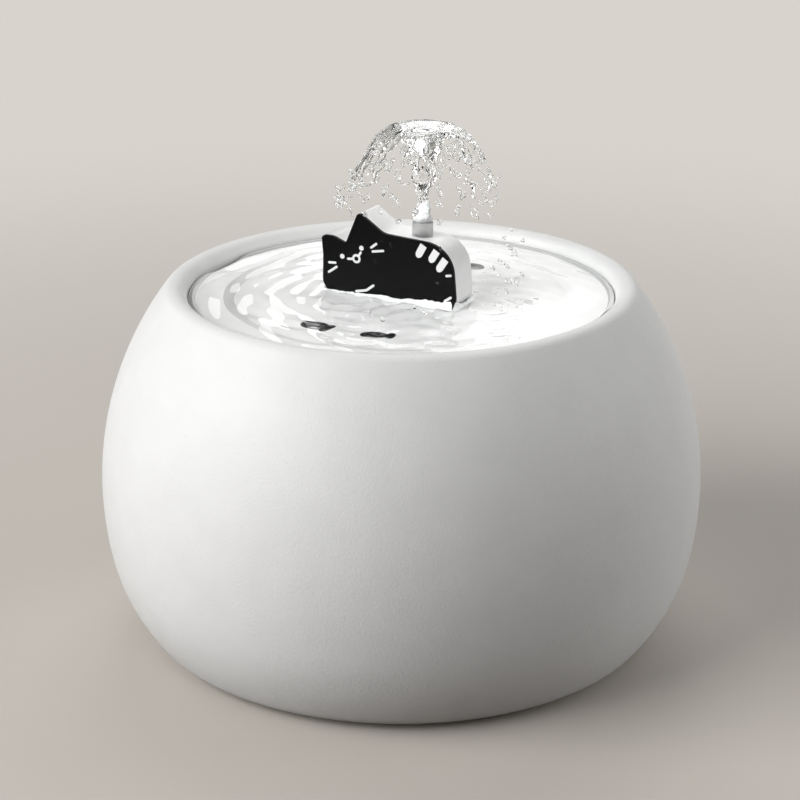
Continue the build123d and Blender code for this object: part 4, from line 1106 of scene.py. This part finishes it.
corners = []
for i in range(BELL_ROWS + 1):
    share = i / BELL_ROWS
    radius, z = on_bell(share)
    for j in range(BELL_TURNS):
        angle = tau * j / BELL_TURNS
        around = Vector((cos(angle) * 6, sin(angle) * 6, z / 6))
        ruffle = 1.4 * share * noise.noise(around * 1.2) + 0.9 * sqrt(share) * noise.noise(around * 3.0)
        ruffle += 0.8 * min(1, 4 * share) * noise.noise(around * 4.0)
        droop = 1.6 * share * noise.noise(around * 0.8 + Vector((9, 0, 0)))
        out = radius + ruffle
        corners.append(((NOZZLE_X + out * cos(angle)) * MM, out * sin(angle) * MM, (z + droop) * MM))
faces = []
for n, face in enumerate(ring_faces(BELL_ROWS, BELL_TURNS)):
    i, j = divmod(n, BELL_TURNS)
    if not torn(i / BELL_ROWS, tau * j / BELL_TURNS):
        faces.append(face)
bell = piece_of("bell", corners, faces)
shape = bmesh.new()
shape.from_mesh(bell.data)
bmesh.ops.delete(shape, geom=[v for v in shape.verts if not v.link_faces], context="VERTS")
shape.to_mesh(bell.data)
shape.free()
thick = bell.modifiers.new("thick", "SOLIDIFY")
thick.thickness, thick.offset = SHEET * MM, 0
relax = bell.modifiers.new("relax", "SMOOTH")
relax.factor, relax.iterations = 0.5, 9
staged_water(made_plain(bell), "cat")
print("bell faces:", len(bell.data.polygons))

# %% [markdown]
# ## Drops
# Below the torn edge the water falls on as drops, all round the bell and more of them on some sides,
# and a few rest on the black face. Each starts as a point, and Geometry Nodes put a drop on it. The
# falling ones come from a fixed seed, so every render shows the same splash.

# %% Let the drops fall
dice = random.Random(5)
DROPS = (  # count, turn and spread in degrees, radius and spread, height from and to, in mm
    (50, 0, 180, 27.0, 2.6, 162, 174),
    (14, 206, 16, 29.5, 2.0, 160, 168),
    (22, 22, 40, 33.0, 5.0, 131, 160),
    (5, -60, 50, 30.0, 8.0, 130.2, 134),
)
fall = []
for count, at, spread, reach, stray, low, high in DROPS:
    for _ in range(count):
        angle = radians(at + dice.uniform(-spread, spread))
        radius = reach + dice.uniform(-stray, stray)
        x, y = NOZZLE_X + radius * cos(angle), radius * sin(angle)
        fall.append((x * MM, y * MM, dice.uniform(low, high) * MM))
FACE_Y = -7.35
RESTING = ((-3.9, 150.3), (-0.4, 149.3), (18.9, 137.8), (19.6, 150.2), (-6.4, 142.1))
resting = [(x * MM, FACE_Y * MM, z * MM) for x, z in RESTING]
PEAR = [(0, -1), (0.6, -0.85), (0.92, -0.4), (0.95, 0.1), (0.7, 0.7), (0.3, 1.3), (0, 1.6)]
drop = turned("drop", PEAR, 14, water)
for corner in drop.data.vertices:
    corner.co /= MM
spray, given = new_tree(
    "falling drops", Places="Geometry", Drop="Object", Smallest="Vector", Largest="Vector",
    Lean="Vector", Seed="Int", Finish="Material",
)
seed = {"Seed": given["Seed"]}
lean = add(spray, "FunctionNodeRandomValue", {1: given["Lean"], **seed}, data_type="FLOAT_VECTOR")
stretch = {0: given["Smallest"], 1: given["Largest"], **seed}
stretch = add(spray, "FunctionNodeRandomValue", stretch, data_type="FLOAT_VECTOR")
shown = add(spray, "GeometryNodeObjectInfo", {0: given["Drop"]}).outputs["Geometry"]
copies = {"Points": given["Places"], "Instance": shown, "Rotation": lean, "Scale": stretch}
end_tree(spray, add(spray, "GeometryNodeInstanceOnPoints", copies), given["Finish"])
SIZES = {"Smallest": (0.3 * MM, 0.3 * MM, 0.36 * MM), "Largest": (1.0 * MM, 1.0 * MM, 1.35 * MM)}
for name, places, body in (("drops", fall, "tray"), ("drops_on_the_face", resting, "cat")):
    splash = piece_of(name, places)
    grown(splash, spray, Drop=drop, Lean=(0.9, 0.9, tau), Seed=3, Finish=water, **SIZES)
    staged_water(splash, body)
bpy.data.objects.remove(drop)
print("drops:", len(fall), "falling,", len(resting), "resting")
